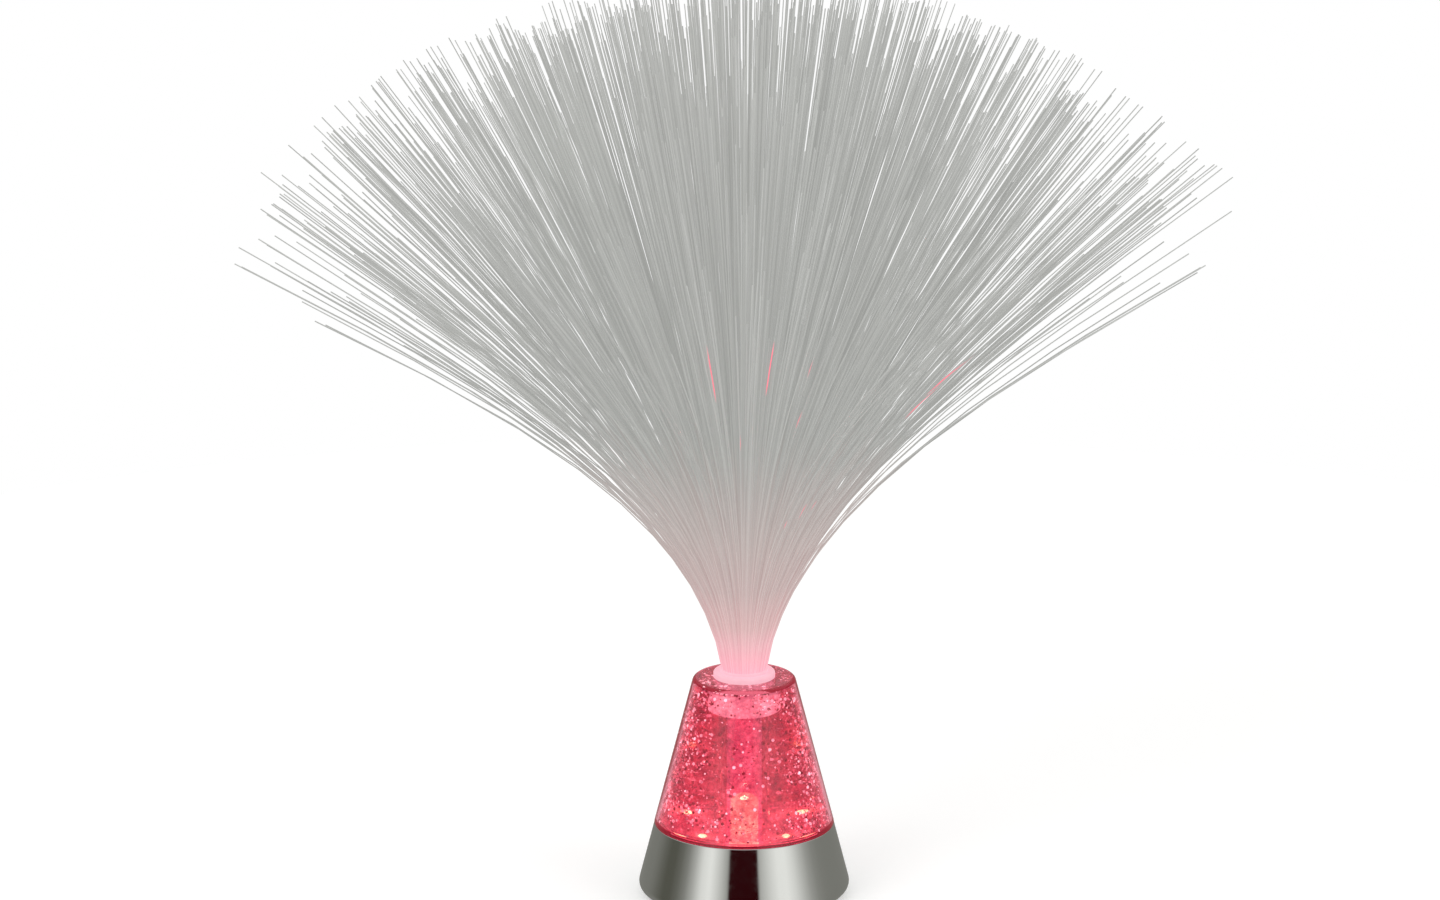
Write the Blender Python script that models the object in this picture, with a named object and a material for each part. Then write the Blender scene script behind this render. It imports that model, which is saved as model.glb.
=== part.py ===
"""Fibre optic table lamp, run on three AAA cells.

A chromed conical base holds the cells, a slide switch and a board of light emitting diodes. A clear
bottle of glitter liquid stands in the base. A tube through the liquid carries light up to a white
collar, and a plug of side-glowing fibres, which lifts out of the collar, spreads it as a fountain.

The origin is the centre of the face that the lamp stands on. +Z is up and -Y is the front.
"""

import math
import random

import bmesh
import bpy
from mathutils import Matrix, Vector

MM = 0.001

# Clearances
FIT = 0.3 * MM  # between pieces that touch on the real lamp
RUN = 0.4 * MM  # around a piece that slides or turns
OVERRUN = 1.0 * MM  # how far a cutter passes the face that it cuts
BITE = 0.5 * MM  # how far two shapes of one moulding lie in each other
MERGE = 0.001 * MM

# Outer form: one cone runs over the base and the bottle
BASE_EDGE_W = 5.4 * MM  # from the base plate out to the widest radius, above the rounded foot edge
BASE_ROUND = 3.5 * MM
CONE_LEAN = math.radians(14.06)  # from the vertical
BOTTLE_H = 57.7 * MM  # above the rim of the base
SHELL_WALL = 1.8 * MM
RIM_W = 2.3 * MM  # width of the flat top of the base's rim
RIM_ROUND = 0.5 * MM

# Underside
FOOT_H = 1.0 * MM
FOOT_R = 3.2 * MM
FOOT_INSET = 4.3 * MM  # from the edge of the base plate to the foot's middle
FOOT_ANGLE = math.radians(50.0)  # from the X axis
PLATE_T = 2.0 * MM
PLATE_MARGIN = 1.5 * MM  # outside the door's tongue
LEDGE_W = 1.0 * MM  # seat of the plate inside the base
LEDGE_T = 1.5 * MM

# Cells: AAA, three side by side, in series
CELL_COUNT = 3
CELL_R = 5.25 * MM
CELL_L = 44.5 * MM
CELL_SHOULDER = 0.5 * MM
NUB_R = 1.9 * MM
NUB_H = 1.0 * MM
CELL_GAP = 0.6 * MM
SPRING_L = 4.0 * MM  # with the cell in place
SPRING_R = 3.0 * MM
SPRING_TIP_R = 1.9 * MM
SPRING_WIRE_R = 0.3 * MM
SPRING_TURNS = 3
SPRING_TURN_POINTS = 8
CONTACT_T = 0.4 * MM
CONTACT_W = 8.0 * MM
CONTACT_H = 7.5 * MM
TAB_W = 2.0 * MM  # solder tab of an end contact, through the wall of the bay
TAB_L = 1.4 * MM  # outside the wall

# Battery bay
BAY_WALL = 1.4 * MM
BAY_ROOF = 1.4 * MM
BAY_RIB = 1.5 * MM
DOOR_T = 1.6 * MM
DOOR_LAP = 0.8 * MM  # how far the door covers the bay's walls
TONGUE_L = 6.6 * MM  # the door's end that takes its screw
TONGUE_W = 9.0 * MM
HOOK_L = 1.2 * MM
HOOK_W = 6.0 * MM
HOOK_T = 0.8 * MM
HOOK_SPREAD = 9.0 * MM  # from the middle of the door to each hook
HOOK_ROOM = 0.8 * MM  # how much higher the hook's notch is, so that the door can swing

# Screws
SCREW_HEAD_R = 2.4 * MM
SCREW_HEAD_H = 1.5 * MM
SCREW_SHANK_R = 1.1 * MM
SCREW_L = 8.0 * MM  # under the head
SCREW_SLOT_W = 0.7 * MM
SCREW_SLOT_D = 0.6 * MM
BOSS_R = 3.0 * MM
BOSS_INSET = 4.3 * MM  # from the edge of the base plate to the screw's middle
BOSS_ANGLE = math.radians(22.0)  # from the Y axis
BOSS_RIB_W = 1.6 * MM
CUP_H = 3.6 * MM  # thickening of the plate round each screw head
DOOR_SCREW_HEAD_H = 0.9 * MM
DOOR_SCREW_L = 4.0 * MM
DOOR_BOSS_H = 5.5 * MM
BOARD_SCREW_HEAD_R = 1.8 * MM
BOARD_SCREW_HEAD_H = 1.0 * MM
BOARD_SCREW_SHANK_R = 0.7 * MM
BOARD_SCREW_L = 3.2 * MM

# Switch
SWITCH_L = 10.0 * MM
SWITCH_W = 5.0 * MM
SWITCH_H = 4.5 * MM
SWITCH_INSET = 8.3 * MM  # from the edge of the base plate to the switch's middle
KNOB_L = 3.0 * MM
KNOB_W = 2.4 * MM
KNOB_PROUD = 0.6 * MM
KNOB_TRAVEL = 3.0 * MM
KNOB_DEPTH = 1.5 * MM  # how far it reaches into the switch

# Board and its parts
BOARD_STANDOFF = 2.0 * MM
POST_R = 2.4 * MM
POST_ORBIT = 19.0 * MM
BOARD_R = 24.0 * MM
BOARD_T = 1.6 * MM
LED_R = 2.5 * MM
LED_FLANGE_T = 0.8 * MM
LED_DOME_R = 2.2 * MM
LED_H = 4.4 * MM
LED_RING_COUNT = 4
LED_ORBIT = 19.5 * MM
LED_RING_ANGLE = math.radians(45.0)
LED_AIR = 0.6 * MM
CHIP_R = 3.0 * MM
CHIP_H = 1.0 * MM
CHIP_ORBIT = 8.5 * MM
RESISTOR_L = 3.0 * MM
RESISTOR_W = 1.6 * MM
RESISTOR_H = 0.7 * MM
RESISTOR_COUNT = 3
RESISTOR_PITCH = 3.0 * MM
WIRE_R = 0.5 * MM
WIRE_POINTS = 12

# Bottle
SPIGOT_H = 3.5 * MM  # the part that sits inside the rim
BOTTLE_WALL = 1.2 * MM
BOTTLE_ROOF = 1.4 * MM
SHOULDER_ROUND = 1.8 * MM
FLOOR_T = 2.0 * MM
LIQUID_AIR = 0.5 * MM  # air left under the bottle's roof
TUBE_R = 7.0 * MM
TUBE_WALL = 1.2 * MM
GUIDE_H = 10.0 * MM  # clear rod that carries the middle diode's light up the tube
GUIDE_TIP_R = 2.0 * MM
GUIDE_TIP_H = 1.2 * MM
FILLER_R = 3.0 * MM
FILLER_LIP = 0.8 * MM
FILLER_LIP_T = 0.7 * MM
FILLER_INSET = 8.0 * MM  # from the edge of the bottle's floor to the filler's middle

# Collar and fibre plug
FERRULE_R = 9.0 * MM
FERRULE_WALL = 0.5 * MM
FERRULE_PROUD = 0.9 * MM  # above the collar's flange
COLLAR_WALL = 1.0 * MM
COLLAR_DEPTH = 13.5 * MM  # below the top of the bottle
COLLAR_LIP_W = 3.6 * MM
COLLAR_LIP_T = 1.2 * MM
FLANGE_W = 1.3 * MM  # how far the flange stands out past the barrel
FLANGE_T = 2.4 * MM
FLANGE_ROUND = 1.1 * MM

# Fibre spray
STRAND_L = 262.0 * MM
STRAND_R = 0.25 * MM
TUFT_COUNT = 6
RING_COUNT = 10
RING_MARGIN = 0.3 * MM
TUFT_GAP = 0.25 * MM
BEND_L = 70.0 * MM  # length over which a strand takes up most of its lean
ROOT_LEAN = math.radians(8.0)
EDGE_LEAN = math.radians(59.0)
EVEN_LEAN_SHARE = 0.62  # of the lean, what grows evenly from the middle to the edge
EDGE_POWER = 6
JITTER_SHARE = 0.33  # of the spacing between strands
SHORTER_SHARE = 0.16  # the most that a strand falls short of the longest
CURVED_RING = 9  # from this ring outwards a strand bends enough to need one more point
INNER_SHARES = (0.16, 0.45, 1.0)
OUTER_SHARES = (0.1, 0.25, 0.5, 1.0)
WALK_STEPS = 48

# Facets
FINE_SEGMENTS = 36
MEDIUM_SEGMENTS = 24
SMALL_SEGMENTS = 12
TINY_SEGMENTS = 10
ARC_STEPS = 3
SMOOTH_UNDER = math.radians(35.0)

# Heights that follow, from the table up
plate_bottom = FOOT_H
plate_top = plate_bottom + PLATE_T
door_top = plate_bottom + DOOR_T
bay_floor = door_top + FIT
cell_z = bay_floor + FIT + CELL_R
bay_ceiling = cell_z + CELL_R + FIT
bay_top = bay_ceiling + BAY_ROOF
board_bottom = bay_top + BOARD_STANDOFF
board_top = board_bottom + BOARD_T
led_bottom = board_top + FIT
bottle_bottom = led_bottom + LED_H + LED_AIR
rim_z = bottle_bottom + SPIGOT_H
bottle_shoulder = rim_z + FIT
bottle_top = rim_z + BOTTLE_H
bottle_ceiling = bottle_top - BOTTLE_ROOF
floor_top = bottle_bottom + FLOOR_T
liquid_top = bottle_ceiling - LIQUID_AIR
collar_bottom = bottle_top - COLLAR_DEPTH
flange_bottom = bottle_top + FIT
flange_top = flange_bottom + FLANGE_T
ferrule_bottom = collar_bottom + COLLAR_LIP_T + FIT
ferrule_top = flange_top + FERRULE_PROUD
backing_top = ferrule_top - FIT
widest_z = plate_bottom + BASE_ROUND

# Radii and lengths that follow
collar_bore = FERRULE_R + RUN
collar_r = collar_bore + COLLAR_WALL
neck_r = collar_r + FIT
flange_r = collar_r + FLANGE_W
backing_r = FERRULE_R - FERRULE_WALL - FIT
contact_stack = CONTACT_T + FIT
bay_half_l = (CELL_L + SPRING_L + 2 * contact_stack + 3 * FIT) / 2
cell_pitch = 2 * CELL_R + CELL_GAP
bay_half_w = (CELL_COUNT - 1) * cell_pitch / 2 + CELL_R + FIT
bay_outer_half_l = bay_half_l + BAY_WALL
bay_outer_half_w = bay_half_w + BAY_WALL
door_half_l = bay_half_l + DOOR_LAP
door_half_w = bay_half_w + DOOR_LAP
door_screw_x = door_half_l + SCREW_HEAD_R + RUN
bay_corner_r = math.hypot(bay_outer_half_l, bay_outer_half_w)
plate_r = max(door_half_l + TONGUE_L + PLATE_MARGIN, bay_corner_r + FIT + LEDGE_W)
ledge_r = plate_r - LEDGE_W
base_r = plate_r + FIT + BASE_EDGE_W
foot_orbit = plate_r - FOOT_INSET
boss_orbit = plate_r - BOSS_INSET
switch_y = SWITCH_INSET - plate_r
hook_top = door_top
hook_bottom = door_top - HOOK_T


def cone_radius(height):
    """Radius of the outer cone at a height, tangent to the rounded foot edge."""
    at_widest = base_r - BASE_ROUND + BASE_ROUND / math.cos(CONE_LEAN)
    return at_widest - (height - widest_z) * math.tan(CONE_LEAN)


rim_bore = cone_radius(rim_z) - RIM_W
spigot_r = rim_bore - FIT
bottle_bore = spigot_r - BOTTLE_WALL
floor_r = bottle_bore - FIT
filler_y = floor_r - FILLER_INSET


# Tools of the trade


def paint(name, colour, roughness, metallic=0.0, transmission=0.0):
    """A Principled material."""
    made = bpy.data.materials.new(name)
    made.use_nodes = True
    shader = made.node_tree.nodes["Principled BSDF"]
    shader.inputs["Base Color"].default_value = (*colour, 1.0)
    shader.inputs["Roughness"].default_value = roughness
    shader.inputs["Metallic"].default_value = metallic
    shader.inputs["Transmission Weight"].default_value = transmission
    made.diffuse_color = (*colour, 1.0)
    return made


def placed(name, mesh, material, at=(0, 0, 0), turn=0.0):
    """An object with this mesh, turned about Z and moved to its place."""
    piece = bpy.data.objects.new(name, mesh)
    piece.location = at
    piece.rotation_euler = (0, 0, turn)
    bpy.context.scene.collection.objects.link(piece)
    if not mesh.materials:
        mesh.materials.append(material)
    return piece


def mesh_of(name, shape):
    """The bmesh as a mesh, smooth where its faces meet gently."""
    bmesh.ops.remove_doubles(shape, verts=shape.verts, dist=MERGE)
    bmesh.ops.recalc_face_normals(shape, faces=shape.faces)
    mesh = bpy.data.meshes.new(name)
    shape.to_mesh(mesh)
    shape.free()
    mesh.shade_smooth()
    mesh.set_sharp_from_angle(angle=SMOOTH_UNDER)
    return mesh


def turned_mesh(name, outline, segments, axis="Z"):
    """A solid turned about an axis. Its outline lists (radius, height) corners, and closes by itself."""
    shape = bmesh.new()
    corners = [shape.verts.new((radius, 0, height)) for radius, height in outline]
    edges = [shape.edges.new(pair) for pair in zip(corners, corners[1:])]
    if outline[0][0] > MERGE or outline[-1][0] > MERGE:
        edges.append(shape.edges.new((corners[-1], corners[0])))
    bmesh.ops.spin(
        shape, geom=corners + edges, cent=(0, 0, 0), axis=(0, 0, 1),
        angle=math.tau, steps=segments, use_merge=True, use_duplicate=False,
    )
    if axis == "X":
        bmesh.ops.rotate(shape, verts=shape.verts, matrix=Matrix.Rotation(math.pi / 2, 3, "Y"))
    return mesh_of(name, shape)


def turned(name, outline, segments, material, at=(0, 0, 0), turn=0.0, axis="Z"):
    return placed(name, turned_mesh(name, outline, segments, axis), material, at, turn)


def rod(name, radius, low, high, segments, material, at=(0, 0)):
    """A plain upright cylinder between two heights."""
    outline = [(0, low), (radius, low), (radius, high), (0, high)]
    return turned(name, outline, segments, material, (*at, 0))


def block(name, low, high, material, at=(0, 0, 0), turn=0.0):
    """A box between two corners."""
    shape = bmesh.new()
    bmesh.ops.create_cube(shape, size=1)
    size = [b - a for a, b in zip(low, high)]
    middle = [(a + b) / 2 for a, b in zip(low, high)]
    bmesh.ops.scale(shape, vec=size, verts=shape.verts)
    bmesh.ops.translate(shape, vec=middle, verts=shape.verts)
    return placed(name, mesh_of(name, shape), material, at, turn)


def extruded(name, outline, sweep, material=None, at=(0, 0, 0), turn=0.0):
    """A flat outline of (x, y, z) corners, swept along a vector."""
    shape = bmesh.new()
    face = shape.faces.new([shape.verts.new(corner) for corner in outline])
    grown = bmesh.ops.extrude_face_region(shape, geom=[face])
    moved = [item for item in grown["geom"] if isinstance(item, bmesh.types.BMVert)]
    bmesh.ops.translate(shape, verts=moved, vec=sweep)
    return placed(name, mesh_of(name, shape), material, at, turn)


def shape_with(target, helper, operation):
    """Cuts, joins or keeps with a Boolean, and hides the helper."""
    change = target.modifiers.new(helper.name, "BOOLEAN")
    change.operation = operation
    change.object = helper
    change.solver = "EXACT"
    helper.hide_render = True
    helper.display_type = "WIRE"


def cut(target, helper):
    shape_with(target, helper, "DIFFERENCE")


def join(target, helper):
    shape_with(target, helper, "UNION")


def arc(centre_r, centre_z, radius, start, end):
    """Outline points round a corner, both ends included."""
    turns = [start + (end - start) * step / ARC_STEPS for step in range(ARC_STEPS + 1)]
    return [(centre_r + radius * math.cos(a), centre_z + radius * math.sin(a)) for a in turns]


def around(radius, angle):
    return radius * math.cos(angle), radius * math.sin(angle)


# Chromed base


def boss_places():
    """Where the four base screws stand, two in front and two behind."""
    across, along = boss_orbit * math.sin(BOSS_ANGLE), boss_orbit * math.cos(BOSS_ANGLE)
    return [(x, y) for y in (-along, along) for x in (-across, across)]


def wall_middle(height):
    return cone_radius(height) - SHELL_WALL / 2


def make_base_shell(chrome):
    step_z = bottle_bottom - 2 * FIT
    inner_floor = plate_top + FIT + LEDGE_T
    rim_edge = cone_radius(rim_z) - RIM_ROUND * math.tan(CONE_LEAN)
    outline = [
        *arc(base_r - BASE_ROUND, widest_z, BASE_ROUND, -math.pi / 2, CONE_LEAN),
        (cone_radius(rim_z - RIM_ROUND), rim_z - RIM_ROUND),
        (rim_edge - RIM_ROUND, rim_z),
        (rim_bore, rim_z),
        (rim_bore, step_z),
        (cone_radius(step_z) - SHELL_WALL, step_z),
        (cone_radius(inner_floor) - SHELL_WALL, inner_floor),
        (ledge_r, inner_floor),
        (ledge_r, plate_top + FIT),
        (plate_r + FIT, plate_top + FIT),
        (plate_r + FIT, plate_bottom),
    ]
    shell = turned("base_shell", outline, FINE_SEGMENTS, chrome)
    boss_bottom = plate_bottom + CUP_H + FIT
    boss_top = step_z + FIT
    pilot_top = boss_bottom + SCREW_L
    for index, (x, y) in enumerate(boss_places()):
        join(shell, rod(f"boss_{index}", BOSS_R, boss_bottom, boss_top, SMALL_SEGMENTS, chrome, (x, y)))
        low, high, side = boss_bottom + BITE, step_z + BITE / 2, -BOSS_RIB_W / 2
        rib = [
            (boss_orbit, side, low), (wall_middle(low), side, low),
            (wall_middle(high), side, high), (boss_orbit, side, high),
        ]
        turn = math.atan2(y, x)
        join(shell, extruded(f"boss_rib_{index}", rib, (0, BOSS_RIB_W, 0), chrome, turn=turn))
        pilot = rod(
            f"boss_pilot_{index}", SCREW_SHANK_R + FIT, boss_bottom - OVERRUN, pilot_top,
            TINY_SEGMENTS, chrome, (x, y),
        )
        cut(shell, pilot)
    return shell


# Underside


def make_base_plate(plastic):
    outline = [(0, plate_bottom), (plate_r, plate_bottom), (plate_r, plate_top), (0, plate_top)]
    plate = turned("base_plate", outline, FINE_SEGMENTS, plastic)
    bay = block(
        "bay_outside",
        (-bay_outer_half_l, -bay_outer_half_w, plate_top - BITE),
        (bay_outer_half_l, bay_outer_half_w, bay_top), plastic,
    )
    join(plate, bay)
    for side in (-1, 1):
        post = rod(
            f"board_post_{side}", POST_R, bay_top - BITE, board_bottom - FIT,
            SMALL_SEGMENTS, plastic, (side * POST_ORBIT, 0),
        )
        join(plate, post)
    door_boss = rod(
        "door_boss", BOSS_R, plate_top - BITE, bay_floor + DOOR_BOSS_H,
        SMALL_SEGMENTS, plastic, (door_screw_x, 0),
    )
    join(plate, door_boss)
    places = boss_places()
    for index, place in enumerate(places):
        cup = rod(
            f"screw_cup_{index}", BOSS_R, plate_top - BITE, plate_bottom + CUP_H,
            SMALL_SEGMENTS, plastic, place,
        )
        join(plate, cup)
    # The bay's inside, the door's recess and the notches for its hooks
    cut(plate, block(
        "bay_inside", (-bay_half_l, -bay_half_w, plate_bottom - OVERRUN),
        (bay_half_l, bay_half_w, bay_ceiling), plastic,
    ))
    cut(plate, block(
        "door_recess", (-door_half_l - FIT, -door_half_w - FIT, plate_bottom - OVERRUN),
        (door_half_l + FIT, door_half_w + FIT, bay_floor), plastic,
    ))
    cut(plate, block(
        "tongue_recess", (door_half_l - BITE, -TONGUE_W / 2 - FIT, plate_bottom - OVERRUN),
        (door_half_l + TONGUE_L + FIT, TONGUE_W / 2 + FIT, bay_floor), plastic,
    ))
    for side in (-1, 1):
        cut(plate, block(
            f"hook_notch_{side}",
            (-door_half_l - HOOK_L - RUN, side * HOOK_SPREAD - HOOK_W / 2 - FIT, hook_bottom - FIT),
            (-bay_half_l + BITE, side * HOOK_SPREAD + HOOK_W / 2 + FIT, bay_floor + HOOK_ROOM),
            plastic,
        ))
        cut(plate, rod(
            f"post_pilot_{side}", BOARD_SCREW_SHANK_R + FIT, board_top - BOARD_SCREW_L,
            board_bottom + OVERRUN, TINY_SEGMENTS, plastic, (side * POST_ORBIT, 0),
        ))
    cut(plate, rod(
        "door_pilot", SCREW_SHANK_R + RUN, bay_floor - OVERRUN,
        bay_floor + DOOR_SCREW_L, TINY_SEGMENTS, plastic, (door_screw_x, 0),
    ))
    for index, place in enumerate(places):
        cut(plate, rod(
            f"head_recess_{index}", SCREW_HEAD_R + FIT, plate_bottom - OVERRUN,
            plate_bottom + SCREW_HEAD_H + FIT, SMALL_SEGMENTS, plastic, place,
        ))
        cut(plate, rod(
            f"shank_hole_{index}", SCREW_SHANK_R + FIT, plate_bottom,
            plate_bottom + CUP_H + OVERRUN, TINY_SEGMENTS, plastic, place,
        ))
    half_slot = KNOB_L / 2 + KNOB_TRAVEL / 2 + RUN
    cut(plate, block(
        "switch_slot", (-half_slot, switch_y - KNOB_W / 2 - RUN, plate_bottom - OVERRUN),
        (half_slot, switch_y + KNOB_W / 2 + RUN, plate_top + OVERRUN), plastic,
    ))
    last_side = -1 if CELL_COUNT % 2 else 1
    for side, index in ((1, 0), (last_side, CELL_COUNT - 1)):
        y = cell_row(index)[0]
        slot_start = bay_half_l - BITE
        cut(plate, solder_tab(f"tab_slot_{index}", side, y, slot_start, OVERRUN, FIT, plastic))
    # Ribs that hang between the cells
    half_ribs = (CELL_COUNT - 2) / 2
    for index in range(CELL_COUNT - 1):
        y = (index - half_ribs) * cell_pitch
        join(plate, block(
            f"bay_rib_{index}", (-bay_half_l / 2, y - BAY_RIB / 2, bay_ceiling - BAY_RIB),
            (bay_half_l / 2, y + BAY_RIB / 2, bay_ceiling + BITE), plastic,
        ))
    return plate


def screw_outline(head_r, head_h, shank_r, length):
    """Half of a screw that points up, with the face of its head at height zero."""
    chamfer = head_h / 4
    return [
        (0, 0), (head_r - chamfer, 0), (head_r, chamfer), (head_r, head_h),
        (shank_r, head_h), (shank_r, head_h + length - shank_r), (0, head_h + length),
    ]


def slotted(screw, at, head_r, up):
    """Cuts the driver slot across a screw head. up is 1 for a head that faces down, else -1."""
    low, high = sorted((-OVERRUN * up, SCREW_SLOT_D * up))
    slot = block(
        f"{screw.name}_slot", (-head_r - OVERRUN, -SCREW_SLOT_W / 2, low),
        (head_r + OVERRUN, SCREW_SLOT_W / 2, high), screw.data.materials[0], at=at,
    )
    cut(screw, slot)


def make_screws(steel):
    length = CUP_H - SCREW_HEAD_H + SCREW_L - OVERRUN
    outline = screw_outline(SCREW_HEAD_R, SCREW_HEAD_H, SCREW_SHANK_R, length)
    for index, (x, y) in enumerate(boss_places()):
        at = (x, y, plate_bottom)
        screw = turned(f"base_screw_{index + 1}", outline, TINY_SEGMENTS, steel, at)
        slotted(screw, at, SCREW_HEAD_R, 1)
    small = screw_outline(
        BOARD_SCREW_HEAD_R, BOARD_SCREW_HEAD_H, BOARD_SCREW_SHANK_R, BOARD_SCREW_L - FIT,
    )
    hanging = [(radius, -height) for radius, height in small]
    for index, side in enumerate((-1, 1)):
        at = (side * POST_ORBIT, 0, board_top + FIT + BOARD_SCREW_HEAD_H)
        screw = turned(f"board_screw_{index + 1}", hanging, TINY_SEGMENTS, steel, at)
        slotted(screw, at, BOARD_SCREW_HEAD_R, -1)


def make_feet(rubber):
    low_r = FOOT_R - FOOT_H / 2
    outline = [(0, 0), (low_r, 0), (FOOT_R, FOOT_H / 2), (FOOT_R, FOOT_H - FIT), (0, FOOT_H - FIT)]
    mesh = turned_mesh("foot", outline, SMALL_SEGMENTS)
    angles = [FOOT_ANGLE, math.pi - FOOT_ANGLE, math.pi + FOOT_ANGLE, -FOOT_ANGLE]
    for index, angle in enumerate(angles):
        placed(f"rubber_foot_{index + 1}", mesh, rubber, (*around(foot_orbit, angle), 0))


def make_door(plastic, steel):
    door = block(
        "battery_door", (-door_half_l, -door_half_w, plate_bottom),
        (door_half_l, door_half_w, door_top), plastic,
    )
    join(door, block(
        "door_tongue", (door_half_l - BITE, -TONGUE_W / 2, plate_bottom),
        (door_half_l + TONGUE_L, TONGUE_W / 2, door_top), plastic,
    ))
    for side in (-1, 1):
        join(door, block(
            f"door_hook_{side}", (-door_half_l - HOOK_L, side * HOOK_SPREAD - HOOK_W / 2, hook_bottom),
            (-door_half_l + BITE, side * HOOK_SPREAD + HOOK_W / 2, hook_top), plastic,
        ))
    cut(door, rod(
        "door_head_recess", SCREW_HEAD_R + RUN, plate_bottom - OVERRUN,
        plate_bottom + DOOR_SCREW_HEAD_H + RUN / 2, SMALL_SEGMENTS, plastic, (door_screw_x, 0),
    ))
    cut(door, rod(
        "door_shank_hole", SCREW_SHANK_R + RUN, plate_bottom, door_top + OVERRUN,
        TINY_SEGMENTS, plastic, (door_screw_x, 0),
    ))
    outline = screw_outline(
        SCREW_HEAD_R, DOOR_SCREW_HEAD_H, SCREW_SHANK_R, DOOR_SCREW_L,
    )
    at = (door_screw_x, 0, plate_bottom)
    screw = turned("door_screw", outline, TINY_SEGMENTS, steel, at)
    slotted(screw, at, SCREW_HEAD_R, 1)


def make_switch(plastic, knob_plastic):
    """The lamp is lit in the photograph, so the knob stands at the end of its slot, at on."""
    bottom = plate_top + FIT
    body = block(
        "switch_body", (-SWITCH_L / 2, switch_y - SWITCH_W / 2, bottom),
        (SWITCH_L / 2, switch_y + SWITCH_W / 2, bottom + SWITCH_H), plastic,
    )
    half_slot = KNOB_L / 2 + KNOB_TRAVEL / 2 + RUN
    cut(body, block(
        "switch_window", (-half_slot, switch_y - KNOB_W / 2 - RUN, bottom - OVERRUN),
        (half_slot, switch_y + KNOB_W / 2 + RUN, bottom + KNOB_DEPTH + RUN), plastic,
    ))
    knob_x = KNOB_TRAVEL / 2
    block(
        "switch_knob",
        (knob_x - KNOB_L / 2, switch_y - KNOB_W / 2, plate_bottom - KNOB_PROUD),
        (knob_x + KNOB_L / 2, switch_y + KNOB_W / 2, bottom + KNOB_DEPTH), knob_plastic,
    )


# Cells and their contacts


def cell_row(index):
    """The y of a cell, and which way its positive end points along X."""
    y = (index - (CELL_COUNT - 1) / 2) * cell_pitch
    return y, (1 if index % 2 == 0 else -1)


def make_cells(jacket):
    body_l = CELL_L - NUB_H
    outline = [
        (0, 0), (CELL_R - CELL_SHOULDER, 0), (CELL_R, CELL_SHOULDER), (CELL_R, body_l - CELL_SHOULDER),
        (CELL_R - CELL_SHOULDER, body_l), (NUB_R, body_l), (NUB_R, CELL_L), (0, CELL_L),
    ]
    mesh = turned_mesh("cell", outline, SMALL_SEGMENTS, axis="X")
    for index in range(CELL_COUNT):
        y, way = cell_row(index)
        tail = -bay_half_l + contact_stack + FIT + SPRING_L + FIT
        placed(
            f"cell_{index + 1}", mesh, jacket, (way * tail, y, cell_z),
            0 if way > 0 else math.pi,
        )


def least_gap(points, turn_points, radius):
    """The least gap of a coiled tube to itself, measured between points half a turn or more apart."""
    pairs = [(a, b) for start, a in enumerate(points) for b in points[start + turn_points // 2:]]
    return min((a - b).length for a, b in pairs) - 2 * radius


def make_springs(steel):
    """Conical springs that press on the flat ends of the cells."""
    rise = SPRING_L - 2 * SPRING_WIRE_R
    steps = SPRING_TURNS * SPRING_TURN_POINTS
    points = []
    for step in range(steps + 1):
        share = step / steps
        radius = SPRING_R + (SPRING_TIP_R - SPRING_R) * share
        angle = math.tau * SPRING_TURNS * share
        points.append(Vector((SPRING_WIRE_R + rise * share, *around(radius, angle))))
    print(f"spring: least gap to itself {least_gap(points, SPRING_TURN_POINTS, SPRING_WIRE_R) / MM:.2f} mm")
    mesh = tube_mesh("spring", points, SPRING_WIRE_R, resolution=0)
    for index in range(CELL_COUNT):
        y, way = cell_row(index)
        placed(
            f"cell_spring_{index + 1}", mesh, steel,
            (-way * (bay_half_l - contact_stack - FIT), y, cell_z), 0 if way > 0 else math.pi,
        )


def make_contacts(steel):
    """One plate at each end of the row, and bridges from one cell to the next."""
    low_z, high_z = cell_z - CONTACT_H / 2, cell_z + CONTACT_H / 2
    x = bay_half_l - contact_stack
    ends = [cell_row(index)[0] for index in range(CELL_COUNT)]
    last_side = -1 if CELL_COUNT % 2 else 1
    plates = [("contact_positive", 1, ends[0], ends[0])]
    for index in range(CELL_COUNT - 1):
        side = -1 if index % 2 == 0 else 1
        plates.append((f"contact_bridge_{index + 1}", side, ends[index], ends[index + 1]))
    plates.append(("contact_negative", last_side, ends[-1], ends[-1]))
    for name, side, first, last in plates:
        near, far = sorted((side * x, side * (x + CONTACT_T)))
        plate = block(
            name, (near, first - CONTACT_W / 2, low_z), (far, last + CONTACT_W / 2, high_z), steel,
        )
        if first == last:
            join(plate, solder_tab(f"{name}_tab", side, first, x + CONTACT_T / 2, TAB_L, 0, steel))


def solder_tab(name, side, y, start_x, out, clearance, material):
    """A flat tab through the bay's end wall, or with a clearance, the slot that it passes."""
    low_x, high_x = sorted((side * start_x, side * (bay_outer_half_l + out)))
    half_w, half_t = TAB_W / 2 + clearance, CONTACT_T / 2 + clearance
    low, high = (low_x, y - half_w, cell_z - half_t), (high_x, y + half_w, cell_z + half_t)
    return block(name, low, high, material)


# Board


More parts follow.
